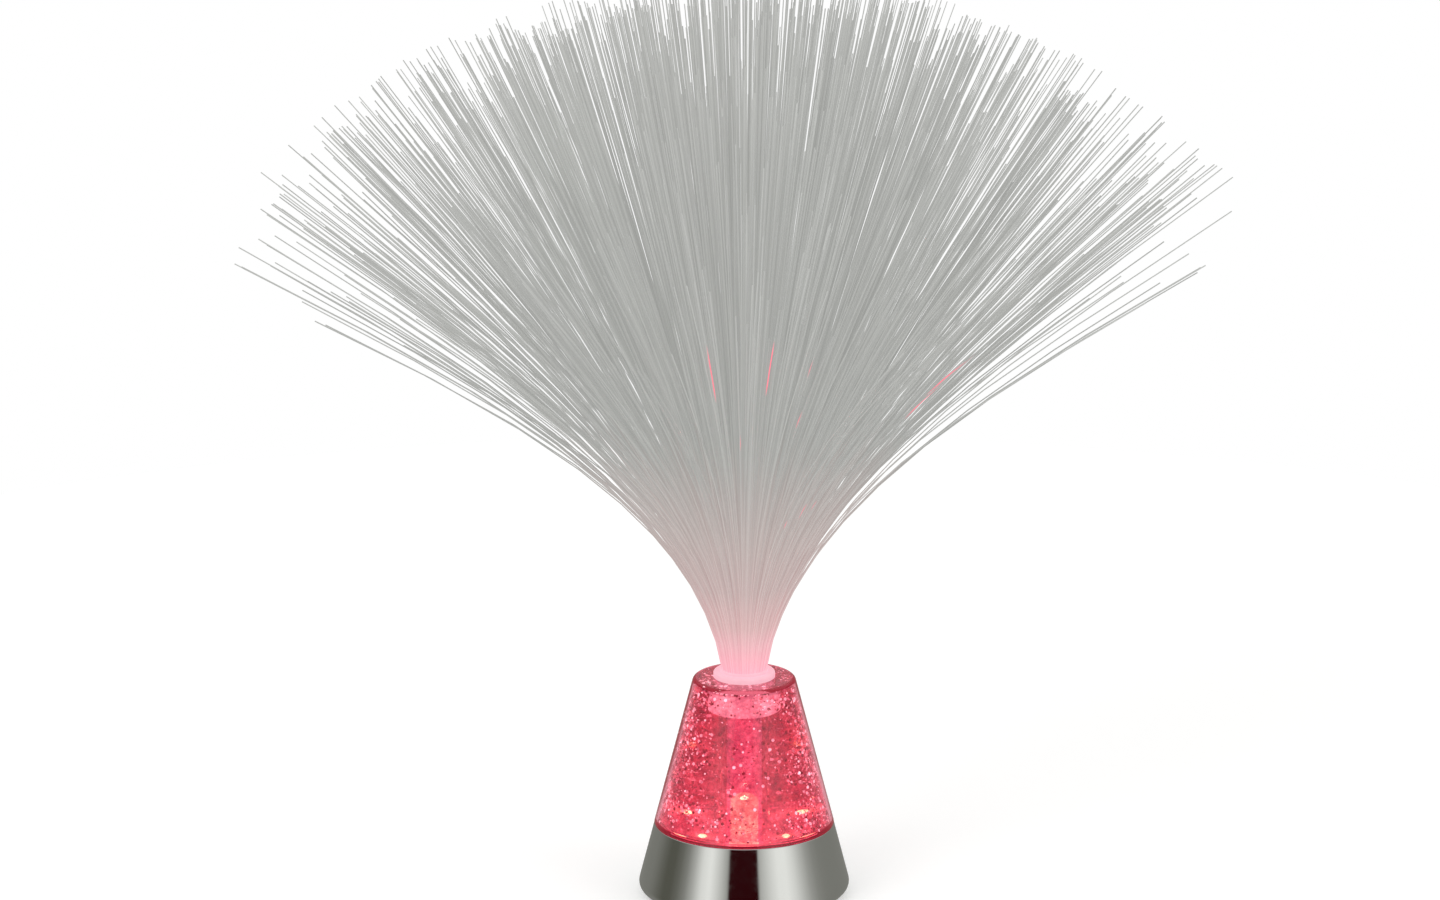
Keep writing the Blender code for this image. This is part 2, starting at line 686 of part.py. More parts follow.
def make_board(fibreglass, lens, epoxy, ceramic):
    board = rod("led_board", BOARD_R, board_bottom, board_top, MEDIUM_SEGMENTS, fibreglass)
    for side in (-1, 1):
        cut(board, rod(
            f"board_hole_{side}", BOARD_SCREW_SHANK_R + FIT, board_bottom - OVERRUN,
            board_top + OVERRUN, TINY_SEGMENTS, fibreglass, (side * POST_ORBIT, 0),
        ))
    straight = LED_H - LED_DOME_R
    dome = [
        (LED_DOME_R * math.cos(a), straight + LED_DOME_R * math.sin(a))
        for a in (0, math.pi / 6, math.pi / 3)
    ]
    outline = [(0, 0), (LED_R, 0), (LED_R, LED_FLANGE_T), (LED_DOME_R, LED_FLANGE_T), *dome, (0, LED_H)]
    mesh = turned_mesh("led", outline, SMALL_SEGMENTS)
    placed("led_centre", mesh, lens, (0, 0, led_bottom))
    for index in range(LED_RING_COUNT):
        angle = LED_RING_ANGLE + math.tau * index / LED_RING_COUNT
        placed(f"led_ring_{index + 1}", mesh, lens, (*around(LED_ORBIT, angle), led_bottom))
    crown = math.pi / 4
    chip = [(0, 0), (CHIP_R, 0), (CHIP_R * math.cos(crown), CHIP_H * math.sin(crown)), (0, CHIP_H)]
    turned("driver_chip", chip, SMALL_SEGMENTS, epoxy, (0, -CHIP_ORBIT, led_bottom))
    for index in range(RESISTOR_COUNT):
        x = (index - (RESISTOR_COUNT - 1) / 2) * RESISTOR_PITCH
        block(
            f"resistor_{index + 1}", (x - RESISTOR_W / 2, CHIP_ORBIT - RESISTOR_L / 2, led_bottom),
            (x + RESISTOR_W / 2, CHIP_ORBIT + RESISTOR_L / 2, led_bottom + RESISTOR_H), ceramic,
        )


def tube_mesh(name, points, radius, resolution):
    """A round wire along points, with closed ends."""
    curve = bpy.data.curves.new(name, "CURVE")
    curve.dimensions = "3D"
    curve.bevel_depth = radius
    curve.bevel_resolution = resolution
    curve.use_fill_caps = True
    add_spline(curve, points)
    return mesh_from_curve(name, curve)


def add_spline(curve, points):
    spline = curve.splines.new("POLY")
    spline.points.add(len(points) - 1)
    for place, point in zip(spline.points, points):
        place.co = (*point, 1.0)


def mesh_from_curve(name, curve):
    """The curve's tubes as a welded mesh. The curve itself is removed."""
    holder = bpy.data.objects.new(name, curve)
    bpy.context.scene.collection.objects.link(holder)
    bpy.context.view_layer.update()
    graph = bpy.context.evaluated_depsgraph_get()
    mesh = bpy.data.meshes.new_from_object(holder.evaluated_get(graph))
    bpy.data.objects.remove(holder)
    shape = bmesh.new()
    shape.from_mesh(mesh)
    bpy.data.meshes.remove(mesh)
    return mesh_of(name, shape)


def smooth_route(corners):
    """Points along a smooth curve through a wire's corners, ends included."""
    ends = [corners[0] * 2 - corners[1], *corners, corners[-1] * 2 - corners[-2]]
    per_run = WIRE_POINTS // (len(corners) - 1)
    points = []
    for a, b, c, d in zip(ends, ends[1:], ends[2:], ends[3:]):
        for step in range(per_run):
            t = step / per_run
            points.append(
                (b * 2 + (c - a) * t + (a * 2 - b * 5 + c * 4 - d) * t ** 2
                 + (b * 3 - a - c * 3 + d) * t ** 3) / 2
            )
    return [*points, corners[-1]]


def make_wires(red, black):
    """Leads from the bay's two ends, one of them by way of the switch, to the board."""
    lift = FIT + WIRE_R
    beside = bay_outer_half_w + lift + WIRE_R
    switch_top = plate_top + FIT + SWITCH_H + FIT
    board_end = board_bottom - FIT
    bend = 4 * WIRE_R
    start_x = bay_outer_half_l + lift
    start_z = cell_z + CONTACT_T / 2 + lift
    ends = [cell_row(index)[0] for index in range(CELL_COUNT)]
    terminal_x = SWITCH_L / 4
    # Positive: round the bay's corner to the switch
    red_lead = [
        Vector((start_x, ends[0], start_z)),
        Vector((bay_outer_half_l, -beside, start_z)),
        Vector((terminal_x + 2 * bend, -beside, switch_top + bend)),
        Vector((terminal_x, switch_y, switch_top + bend)),
        Vector((terminal_x, switch_y, switch_top)),
    ]
    switch_lead = [
        Vector((-terminal_x, switch_y, switch_top)),
        Vector((-terminal_x, switch_y, switch_top + bend)),
        Vector((-terminal_x, -beside, board_end - bend)),
        Vector((-terminal_x, -beside, board_end)),
    ]
    black_lead = [
        Vector((-start_x, ends[-1], start_z)),
        Vector((-bay_outer_half_l, beside, start_z)),
        Vector((-SWITCH_L, beside, board_end - 2 * bend)),
        Vector((-terminal_x, beside, board_end - bend)),
        Vector((-terminal_x, beside, board_end)),
    ]
    for name, corners, colour in (
        ("wire_red", red_lead, red), ("wire_switch", switch_lead, red), ("wire_black", black_lead, black),
    ):
        placed(name, tube_mesh(name, smooth_route(corners), WIRE_R, resolution=0), colour)


# Bottle and what is in it


def make_bottle(clear, liquid_paint, rubber):
    flare_z = bottle_shoulder + BOTTLE_WALL
    shoulder_r = cone_radius(bottle_top) - SHOULDER_ROUND
    outline = [
        (spigot_r, bottle_bottom),
        (spigot_r, bottle_shoulder),
        (cone_radius(bottle_shoulder), bottle_shoulder),
        *arc(
            shoulder_r, bottle_top - SHOULDER_ROUND, SHOULDER_ROUND, CONE_LEAN, math.pi / 2,
        ),
        (neck_r, bottle_top),
        (neck_r, bottle_ceiling),
        (cone_radius(bottle_ceiling) - BOTTLE_WALL, bottle_ceiling),
        (cone_radius(flare_z) - BOTTLE_WALL, flare_z),
        (bottle_bore, bottle_shoulder),
        (bottle_bore, bottle_bottom),
    ]
    turned("glitter_bottle", outline, FINE_SEGMENTS, clear)
    floor = rod("bottle_floor", floor_r, bottle_bottom, floor_top, FINE_SEGMENTS, clear)
    cut(floor, rod(
        "filler_hole", FILLER_R, bottle_bottom - OVERRUN, floor_top + OVERRUN,
        SMALL_SEGMENTS, clear, (0, filler_y),
    ))
    plug_r = FILLER_R - FIT
    lip_bottom = bottle_bottom - FIT - FILLER_LIP_T
    plug = [
        (0, lip_bottom), (plug_r + FILLER_LIP, lip_bottom), (plug_r + FILLER_LIP, bottle_bottom - FIT),
        (plug_r, bottle_bottom - FIT), (plug_r, floor_top), (0, floor_top),
    ]
    turned("filler_plug", plug, SMALL_SEGMENTS, rubber, (0, filler_y, 0))
    liquid_bottom = floor_top + FIT
    inner = TUBE_R + FIT
    outline = [
        (bottle_bore - FIT, liquid_bottom),
        (bottle_bore - FIT, bottle_shoulder),
        (cone_radius(flare_z) - BOTTLE_WALL - FIT, flare_z),
        (cone_radius(liquid_top) - BOTTLE_WALL - FIT, liquid_top),
        (collar_r + FIT, liquid_top),
        (collar_r + FIT, collar_bottom - FIT),
        (inner, collar_bottom - FIT),
        (inner, liquid_bottom),
    ]
    turned("glitter_liquid", outline, MEDIUM_SEGMENTS, liquid_paint)
    low, high = floor_top + FIT, collar_bottom - FIT
    tube_bore = TUBE_R - TUBE_WALL
    turned(
        "light_tube", [(TUBE_R, low), (TUBE_R, high), (tube_bore, high), (tube_bore, low)],
        MEDIUM_SEGMENTS, clear,
    )
    guide_r, guide_top = tube_bore - FIT, low + GUIDE_H
    outline = [
        (0, low),
        (guide_r, low),
        (guide_r, guide_top),
        (GUIDE_TIP_R, guide_top),
        (0, guide_top + GUIDE_TIP_H),
    ]
    turned("light_guide", outline, SMALL_SEGMENTS, clear)


def make_collar(white):
    lip_bore = collar_bore - COLLAR_LIP_W
    outline = [
        (collar_r, collar_bottom),
        (collar_r, flange_bottom),
        (flange_r, flange_bottom),
        *arc(flange_r - FLANGE_ROUND, flange_top - FLANGE_ROUND, FLANGE_ROUND, 0, math.pi / 2),
        (collar_bore, flange_top),
        (collar_bore, collar_bottom + COLLAR_LIP_T),
        (lip_bore, collar_bottom + COLLAR_LIP_T),
        (lip_bore, collar_bottom),
    ]
    turned("fibre_collar", outline, MEDIUM_SEGMENTS, white)


# Fibre plug and spray


def make_ferrule(plastic):
    bore = FERRULE_R - FERRULE_WALL
    outline = [
        (FERRULE_R, ferrule_bottom), (FERRULE_R, ferrule_top), (bore, ferrule_top), (bore, ferrule_bottom),
    ]
    turned("fibre_ferrule", outline, MEDIUM_SEGMENTS, plastic)


def lean_at(spread, along):
    """Lean from the vertical at a length along a strand. spread is 0 in the middle and 1 at the edge."""
    final = EDGE_LEAN * (EVEN_LEAN_SHARE * spread + (1 - EVEN_LEAN_SHARE) * spread ** EDGE_POWER)
    root = ROOT_LEAN * spread
    return root + (final - root) * (1 - math.exp(-along / BEND_L))


def strand_points(root_r, azimuth, swing, spread, length, shares):
    """Points of one strand, from a little inside the backing to its tip."""
    points = [Vector((*around(root_r, azimuth), backing_top - BITE))]
    radius, height, step_l = root_r, backing_top - BITE, length / WALK_STEPS
    wanted = [round(share * WALK_STEPS) for share in shares]
    for step in range(1, WALK_STEPS + 1):
        lean = lean_at(spread, step_l * step - step_l / 2)
        radius += step_l * math.sin(lean)
        height += step_l * math.cos(lean)
        if step in wanted:
            turn = azimuth + swing * step / WALK_STEPS
            points.append(Vector((*around(radius, turn), height)))
    return points


def tuft_strands():
    """One sixth of the spray: a triangular packing, each ring with one strand more than the last."""
    chance = random.Random(7)
    sector = math.tau / TUFT_COUNT
    edge_r = backing_r - STRAND_R - RING_MARGIN
    pitch = (edge_r - RING_MARGIN) / RING_COUNT
    strands = []
    for ring in range(1, RING_COUNT + 1):
        root_r = RING_MARGIN + ring * pitch
        for place in range(ring):
            azimuth = sector * (place + 0.5) / ring
            swing = sector / ring * chance.uniform(-JITTER_SHARE, JITTER_SHARE)
            spread = (ring + chance.uniform(-JITTER_SHARE, JITTER_SHARE)) / RING_COUNT
            length = STRAND_L * (1 - SHORTER_SHARE * chance.random() ** 2)
            longest = ring == RING_COUNT and place == ring // 2
            if longest:
                length, spread = STRAND_L, 1.0
            shares = OUTER_SHARES if ring >= CURVED_RING else INNER_SHARES
            strands.append(strand_points(root_r, azimuth, swing, min(spread, 1.0), length, shares))
    return strands


def backing_slice(fibre):
    """One sixth of the potted end of the bundle, with half of the gap to its neighbours on each side."""
    sector = math.tau / TUFT_COUNT
    half_gap = TUFT_GAP / 2
    apex = half_gap / math.sin(sector / 2)
    edge_angle = math.asin(half_gap / backing_r)
    corners = [(*around(apex, sector / 2), ferrule_bottom)]
    steps = 2 * ARC_STEPS
    for step in range(steps + 1):
        angle = edge_angle + (sector - 2 * edge_angle) * step / steps
        corners.append((*around(backing_r, angle), ferrule_bottom))
    return extruded("tuft", corners, (0, 0, backing_top - ferrule_bottom), fibre)


def make_spray(fibre):
    """Six equal tufts, each fused to its slice of the backing."""
    triangle = bpy.data.curves.new("strand_profile", "CURVE")
    add_spline(triangle, [(*around(STRAND_R, math.tau * corner / 3), 0) for corner in range(3)])
    triangle.splines[0].use_cyclic_u = True
    profile = bpy.data.objects.new("strand_profile", triangle)
    bpy.context.scene.collection.objects.link(profile)
    profile.hide_render = True
    curve = bpy.data.curves.new("strands", "CURVE")
    curve.dimensions = "3D"
    curve.bevel_mode = "OBJECT"
    curve.bevel_object = profile
    curve.use_fill_caps = True
    for points in tuft_strands():
        add_spline(curve, points)
    strands = placed("strands", mesh_from_curve("strands", curve), fibre)
    tuft = backing_slice(fibre)
    join(tuft, strands)
    bpy.context.view_layer.update()
    graph = bpy.context.evaluated_depsgraph_get()
    mesh = bpy.data.meshes.new_from_object(tuft.evaluated_get(graph))
    mesh.name = "fibre_tuft"
    for helper in (tuft, strands, profile):
        bpy.data.objects.remove(helper)
    for index in range(TUFT_COUNT):
        placed(f"fibre_tuft_{index + 1}", mesh, fibre, turn=math.tau * index / TUFT_COUNT)


def main():
    for old in list(bpy.data.objects):
        bpy.data.objects.remove(old)
    chrome = paint("chromed_abs", (0.62, 0.62, 0.60), 0.12, metallic=1.0)
    grey_abs = paint("grey_abs", (0.06, 0.06, 0.065), 0.45)
    black_abs = paint("black_abs", (0.02, 0.02, 0.02), 0.4)
    white_nylon = paint("white_nylon", (0.85, 0.80, 0.80), 0.4)
    rubber = paint("black_rubber", (0.03, 0.03, 0.03), 0.7)
    steel = paint("zinc_steel", (0.55, 0.55, 0.57), 0.35, metallic=1.0)
    jacket = paint("cell_jacket", (0.12, 0.13, 0.15), 0.35)
    fibreglass = paint("board_fibreglass", (0.75, 0.76, 0.72), 0.5)
    lens = paint("led_lens", (0.95, 0.55, 0.35), 0.15, transmission=0.4)
    epoxy = paint("chip_epoxy", (0.01, 0.01, 0.01), 0.5)
    ceramic = paint("resistor_ceramic", (0.03, 0.03, 0.035), 0.4)
    clear = paint("clear_styrene", (0.90, 0.30, 0.38), 0.05, transmission=0.8)
    liquid_paint = paint("glitter_water", (0.85, 0.10, 0.16), 0.1, transmission=0.4)
    fibre = paint("clear_acrylic_fibre", (0.42, 0.42, 0.40), 0.35)
    red_lead = paint("red_lead", (0.5, 0.02, 0.02), 0.5)
    black_lead = paint("black_lead", (0.02, 0.02, 0.02), 0.5)

    make_base_shell(chrome)
    make_base_plate(grey_abs)
    make_screws(steel)
    make_feet(rubber)
    make_door(grey_abs, steel)
    make_switch(black_abs, black_abs)
    make_cells(jacket)
    make_springs(steel)
    make_contacts(steel)
    make_board(fibreglass, lens, epoxy, ceramic)
    make_wires(red_lead, black_lead)
    make_bottle(clear, liquid_paint, rubber)
    make_collar(white_nylon)
    make_ferrule(white_nylon)
    make_spray(fibre)


main()
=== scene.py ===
"""Fibre optic table lamp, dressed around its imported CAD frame.

A chromed base carries a clear bottle of glitter liquid, and a plug of side-glowing fibres stands in the
bottle's collar. Sizes are in metres, in the CAD's own place: +Z is up and -Y is the front.
"""

import math
import random

import bmesh
import bpy
import numpy as np
from bpy.props import FloatProperty, FloatVectorProperty, IntProperty, PointerProperty
from mathutils import Matrix, Vector


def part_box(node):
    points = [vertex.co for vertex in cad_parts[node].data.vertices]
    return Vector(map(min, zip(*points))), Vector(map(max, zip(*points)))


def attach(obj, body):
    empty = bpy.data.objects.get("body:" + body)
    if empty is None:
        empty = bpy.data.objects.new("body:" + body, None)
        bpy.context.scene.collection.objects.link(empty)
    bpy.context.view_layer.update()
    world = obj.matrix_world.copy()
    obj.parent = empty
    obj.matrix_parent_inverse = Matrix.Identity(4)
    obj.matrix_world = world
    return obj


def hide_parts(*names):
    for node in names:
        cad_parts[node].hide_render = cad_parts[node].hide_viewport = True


bl_info = {
    "name": "Fibre optic table lamp",
    "version": (1, 0, 0),
    "blender": (4, 5, 0),
    "location": "View3D > Sidebar > Fibre Lamp",
    "description": "Makes a battery fibre optic lamp with a bottle of glitter liquid",
    "category": "Object",
}

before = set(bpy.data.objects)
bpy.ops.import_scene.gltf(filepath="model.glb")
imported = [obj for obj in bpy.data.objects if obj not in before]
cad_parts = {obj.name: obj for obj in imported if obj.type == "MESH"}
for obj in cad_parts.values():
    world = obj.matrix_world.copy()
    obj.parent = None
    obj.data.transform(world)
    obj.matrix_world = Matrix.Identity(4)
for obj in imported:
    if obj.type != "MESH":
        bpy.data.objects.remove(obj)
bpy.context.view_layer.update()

MM = 0.001
MERGE = 0.002 * MM
ROUND_STEPS = 160  # facets round a turned piece that shows
SMALL_STEPS = 24
ARC_STEPS = 8
SMOOTH_UNDER = math.radians(40.0)

# Heights and radii of the frame's own pieces
BASE_LOW, BASE_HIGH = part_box("base_shell")
BOTTLE_LOW, BOTTLE_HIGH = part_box("glitter_bottle")
LIQUID_LOW, LIQUID_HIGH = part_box("glitter_liquid")
FLOOR_LOW, FLOOR_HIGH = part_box("bottle_floor")
COLLAR_LOW, COLLAR_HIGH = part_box("fibre_collar")
FERRULE_LOW, FERRULE_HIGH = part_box("fibre_ferrule")
TUBE_LOW, TUBE_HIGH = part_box("light_tube")
GUIDE_LOW, GUIDE_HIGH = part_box("light_guide")
PLATE_LOW, PLATE_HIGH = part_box("base_plate")
RIM_Z = BASE_HIGH.z
BASE_R = BASE_HIGH.x
CONE_LEAN = math.radians(14.06)

# Sizes of the mouldings, as in the CAD
FIT = 0.3 * MM
FOOT_ROUND = 3.5 * MM
RIM_ROUND = 0.5 * MM
RIM_W = 2.3 * MM
SHELL_WALL = 1.8 * MM
BOTTLE_WALL = 1.2 * MM
BOTTLE_ROOF = 1.4 * MM
SHOULDER_ROUND = 1.8 * MM
BARREL_R = 10.4 * MM
FERRULE_WALL = 0.5 * MM
COLLAR_WALL = 1.0 * MM
FLANGE_ROUND = 1.1 * MM
TUBE_WALL = 1.2 * MM
LENS_R = 1.5 * MM  # moulded in the bottle's floor over each diode
LENS_SQUASH = 0.7
GUIDE_TIP_R = 2.0 * MM
GUIDE_TIP_H = 1.2 * MM
LEDGE_H = 2.3 * MM  # the shell's ledge over the base plate
LEDGE_W = 1.3 * MM
FLANGE_H = 2.4 * MM
LIP_BORE = 5.8 * MM  # the lip at the collar's bottom, which the plug stands on
LIP_H = 1.2 * MM
FERRULE_EDGE = 0.2 * MM

# How the fibres run
TUFTS = 6  # as in the CAD
PATH_STEPS = 60  # in which a fibre's curve is worked out
PATH_KEPT = [0, 3, 6, 9, 13, 17, 22, 28, 36, 47, 60]  # the steps that its mesh keeps
BEND_L = 70 * MM  # over which a fibre's bend fades out
ROOT_LEAN = math.radians(8)  # of the outermost fibres at the ferrule
EVEN_LEAN, EDGE_LEAN, EDGE_POWER = 0.58, 0.42, 6  # the lean grows evenly, and faster at the edge
LEFT_LEAN = 0.035  # the whole spray leans a little to the left
ROOT_DEPTH = 1.2 * MM  # of the fibres' first points in the ferrule
PULL_LEAST, PULL_MOST = 0.5, 1.3  # how unevenly the fibres gather in their locks
STRAY = 0.022
LOCK_REACH = 1.02  # the outermost locks stand a little outside the bundle's edge
LOCK_STRAY = 0.25
LOCK_SHORTER = 0.04
TURN_RATE = 1.15  # a fibre turns to its lock a little sooner than it bends
STRAIGHT_SHARE = 0.12  # the innermost fibres keep their azimuth

# How painted light shows
ENTRY_LOW, ENTRY_HIGH = 88 * MM, 188 * MM  # the painted pink glow of the entering light fades out between these
LEAK_REACH = 6  # millimetres from a painted highlight's place to the fibre that shows it
LEAK_FRONT = 14  # how much a fibre at the front is preferred
POOL_R = 12 * MM  # how far a diode's painted pool of light reaches

# How flakes and bubbles lie
FLAKE_SIZES = (0.24, 0.3, 0.36, 0.45, 0.6, 0.9)
FLAKE_LAYERS = (("near", 0.6), ("deep", 0.34), ("roof", 0.06))
FLAKE_THICKNESS = 0.08
OFF_FLOOR, OFF_ROOF = 3.0 * MM, 1.5 * MM
WALL_WOBBLE, DEEP_WOBBLE, ROOF_WOBBLE = 0.12, 0.6, 0.05
BUBBLE_LEAST, BUBBLE_MOST = 0.6 * MM, 1.2 * MM
BUBBLE_SPREAD = math.radians(24)
BUBBLE_FLASHES = (0.1, 0.9)  # painted reflection on a bubble: dark or bright

# The stage
PHOTO_W = 1440  # pixels
SENSOR_W = 36.0
AMBIENT = (0.8, 0.8, 0.8, 1)
FLOOR_LIFT = 0.3  # the floor's own light, so that it ends in white
LAMP_AIM = (0, 0, 0.17)
SOFT_LAMPS = (  # name, place, watts and width
    ("soft_left", (-0.9, -1.0, 1.2), 7.0, 0.9),
    ("soft_right", (1.1, -0.7, 0.9), 3.5, 0.9),
)

LEAKS = (  # painted pink highlights on the fibres: millimetres beside the axis and up, as the camera sees them, and how strong
    (10.5, 209, 1.0), (-11.4, 199, 0.9), (-3.5, 175, 0.62), (24.6, 205, 0.6), (22, 186, 0.62),
    (63, 195, 0.75), (71, 201, 0.75), (81, 207, 0.6), (23, 149, 0.7), (28, 154, 0.6), (15, 144, 0.6),
)

SOFTBOXES = (  # as polished metal sees them: degrees to the right of the front, half width, strength
    (-42, 18, 0.77), (46, 27, 0.77),
    (-95, 22, -0.13),  # a dark corner of the room
)
ROOM_TONE = "#84847F"
GAP = (-18.0, 16.5)  # the dark gap between the softboxes, in degrees
GAP_EDGE = 1.0
GAP_TONE = "#2E0509"


def linear(hex_colour):
    """An sRGB hex colour as linear red, green and blue."""
    shares = [int(hex_colour[place:place + 2], 16) / 255 for place in (1, 3, 5)]
    return tuple(c / 12.92 if c <= 0.04045 else ((c + 0.055) / 1.055) ** 2.4 for c in shares)


def shade_of(hex_colour):
    """The same as a colour socket takes it."""
    return (*linear(hex_colour), 1.0)


def cone_radius(height):
    """Radius of the cone that runs over the base and the bottle."""
    widest_z = BASE_LOW.z + FOOT_ROUND
    at_widest = BASE_R - FOOT_ROUND + FOOT_ROUND / math.cos(CONE_LEAN)
    return at_widest - (height - widest_z) * math.tan(CONE_LEAN)


# Settings that a user would change


class LampFibres(bpy.types.PropertyGroup):
    count: IntProperty(
        name="Fibres", description="How many fibres the plug holds", default=2400, min=60, max=3000)
    fibre_r: FloatProperty(
        name="Fibre radius", description="Half the thickness of one fibre", default=0.22 * MM,
        unit="LENGTH", subtype="DISTANCE")
    length: FloatProperty(
        name="Longest fibre", description="From the ferrule to the tip", default=264 * MM,
        unit="LENGTH", subtype="DISTANCE")
    shorter: FloatProperty(
        name="Shorter by", description="The most that a fibre falls short, as a share of the longest",
        default=0.18, subtype="FACTOR")
    edge_lean: FloatProperty(
        name="Lean at the edge", description="Final lean of the outermost fibres from the vertical",
        default=math.radians(59.5), unit="ROTATION", subtype="ANGLE")
    locks: IntProperty(
        name="Locks", description="How many locks the fibres gather in", default=210, min=1)
    gather: FloatProperty(
        name="Gathering", description="How far a fibre's tip moves to the middle of its lock",
        default=0.7, subtype="FACTOR")
    seed: IntProperty(name="Seed", description="Changes which fibre goes where", default=11)


class LampBottle(bpy.types.PropertyGroup):
    flakes: IntProperty(
        name="Flakes", description="How many glitter flakes drift in the bottle", default=6500, min=0)
    flake_size: FloatProperty(
        name="Flake size", description="Across the corners of one flake", default=1.5 * MM,
        unit="LENGTH", subtype="DISTANCE")
    bubbles: IntProperty(
        name="Bubbles", description="Air bubbles at the front, under the roof", default=34, min=0)
    layer: FloatProperty(
        name="Clear layer", description="Liquid between wall and glow, where flakes show bright",
        default=0.45 * MM, unit="LENGTH", subtype="DISTANCE")
    seed: IntProperty(name="Seed", description="Changes where the flakes drift", default=5)


class LampColours(bpy.types.PropertyGroup):
    fibre: FloatVectorProperty(
        name="Fibre", description="Fibres in daylight", default=linear("#B6B7B4"), subtype="COLOR")
    glow: FloatVectorProperty(
        name="Glow", description="Light that the fibres and the collar give off",
        default=linear("#DEA2B0"), subtype="COLOR")
    liquid: FloatVectorProperty(
        name="Liquid", description="Lit liquid in the bottle", default=linear("#D06478"),
        subtype="COLOR")
    chrome: FloatVectorProperty(
        name="Chrome", description="Plating of the base", default=linear("#E0E1DE"), subtype="COLOR")


class LampStage(bpy.types.PropertyGroup):
    distance: FloatProperty(
        name="Distance", description="From the lamp to the camera", default=6.0,
        unit="LENGTH", subtype="DISTANCE")
    elevation: FloatProperty(
        name="Elevation", description="How far the camera looks down", default=math.radians(16.8),
        unit="ROTATION", subtype="ANGLE")
    aim_z: FloatProperty(
        name="Aim height", description="Height on the lamp's axis at the middle of the picture",
        default=175.2 * MM, unit="LENGTH", subtype="DISTANCE")
    aim_x: FloatProperty(
        name="Aim side", description="How far the middle of the picture lies beside the lamp's axis",
        default=-9.17 * MM, unit="LENGTH", subtype="DISTANCE")
    scale: FloatProperty(
        name="Scale", description="Pixels to the metre at the lamp's axis", default=2650.0)
    floor_r: FloatProperty(
        name="Floor radius", description="Radius of the pale floor", default=0.6,
        unit="LENGTH", subtype="DISTANCE")


# Modelling


def mesh_object(name, shape, smooth=True):
    """Turns a bmesh into an object. Its doubles are merged and its faces point outwards."""
    bmesh.ops.remove_doubles(shape, verts=shape.verts, dist=MERGE)
    bmesh.ops.recalc_face_normals(shape, faces=shape.faces)
    mesh = bpy.data.meshes.new(name)
    shape.to_mesh(mesh)
    shape.free()
    if smooth:
        mesh.shade_smooth()
        mesh.set_sharp_from_angle(angle=SMOOTH_UNDER)
    piece = bpy.data.objects.new(name, mesh)
    bpy.context.scene.collection.objects.link(piece)
    return piece


def spun(shape, outline, steps):
    """Adds a solid turned about Z to a bmesh. Its outline of (radius, height) corners closes itself."""
    corners = [shape.verts.new((radius, 0, height)) for radius, height in outline]
    edges = [shape.edges.new(pair) for pair in zip(corners, corners[1:])]
    if outline[0][0] > MERGE or outline[-1][0] > MERGE:
        edges.append(shape.edges.new((corners[-1], corners[0])))
    bmesh.ops.spin(
        shape, geom=corners + edges, cent=(0, 0, 0), axis=(0, 0, 1), angle=math.tau, steps=steps,
        use_merge=True, use_duplicate=False)


def turned(name, outline, steps=ROUND_STEPS):
    """A piece turned about the lamp's axis."""
    shape = bmesh.new()
    spun(shape, outline, steps)
    return mesh_object(name, shape)


def arc(centre_r, centre_z, radius, start, end, steps=ARC_STEPS):
    """Outline corners round an edge, both ends included."""
    turns = [start + (end - start) * step / steps for step in range(steps + 1)]
    return [(centre_r + radius * math.cos(a), centre_z + radius * math.sin(a)) for a in turns]


def scattered(name, seed_shape, places, painted_glints=None):
    """One object with a copy of a small bmesh at each of these matrices, and a painted glint value for
    each.
    """
    seed_mesh = bpy.data.meshes.new(name + "_one")
    seed_shape.to_mesh(seed_mesh)
    seed_shape.free()
    shape = bmesh.new()
    size = len(seed_mesh.vertices)
    for count, place in enumerate(places):
        shape.from_mesh(seed_mesh)
        shape.verts.ensure_lookup_table()
        for vertex in shape.verts[count * size:]:
            vertex.co = place @ vertex.co
    bpy.data.meshes.remove(seed_mesh)
    mesh = bpy.data.meshes.new(name)
    shape.to_mesh(mesh)
    shape.free()
    if painted_glints is not None:
        values = np.repeat(painted_glints, size).astype(np.float32)
        mesh.attributes.new("painted_glint", "FLOAT", "POINT").data.foreach_set("value", values)
    piece = bpy.data.objects.new(name, mesh)
    bpy.context.scene.collection.objects.link(piece)
    return piece


def dress(piece, material, body, slot, *nodes):
    """Gives a finished piece its material and body, and puts it in the place of CAD nodes. The slot
    argument is not used.
    """
    piece.data.materials.clear()
    piece.data.materials.append(material)
    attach(piece, body)
    if nodes:
        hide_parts(*nodes)


def repaint(material, *names):
    """Gives CAD nodes a better material. A name that ends in an underscore is a numbered row."""
    for name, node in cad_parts.items():
        if name in names or any(row.endswith("_") and name.startswith(row) for row in names):
            node.data.materials.clear()
            node.data.materials.append(material)


# Materials


def add_node(tree, kind, settings=None, links=None):
    """Adds a node, sets its properties and sockets by name, and links its inputs to these outputs."""
    node = tree.nodes.new(kind)
    for key, value in (settings or {}).items():
        if isinstance(key, str) and hasattr(node, key):
            setattr(node, key, value)
        else:
            node.inputs[key].default_value = value
    for key, socket in (links or {}).items():
        tree.links.new(socket, node.inputs[key])
    return node


def new_material(name):
    """A material, its empty tree and the Object coordinates in it."""
    made = bpy.data.materials.new(name)
    made.use_nodes = True
    made.node_tree.nodes.clear()
    return made, made.node_tree, add_node(made.node_tree, "ShaderNodeTexCoord").outputs["Object"]


def end_material(tree, settings, links=None):
    """Ends a material's tree in a Principled shader."""
    shader = add_node(tree, "ShaderNodeBsdfPrincipled", settings, links)
    add_node(tree, "ShaderNodeOutputMaterial", links={"Surface": shader.outputs[0]})


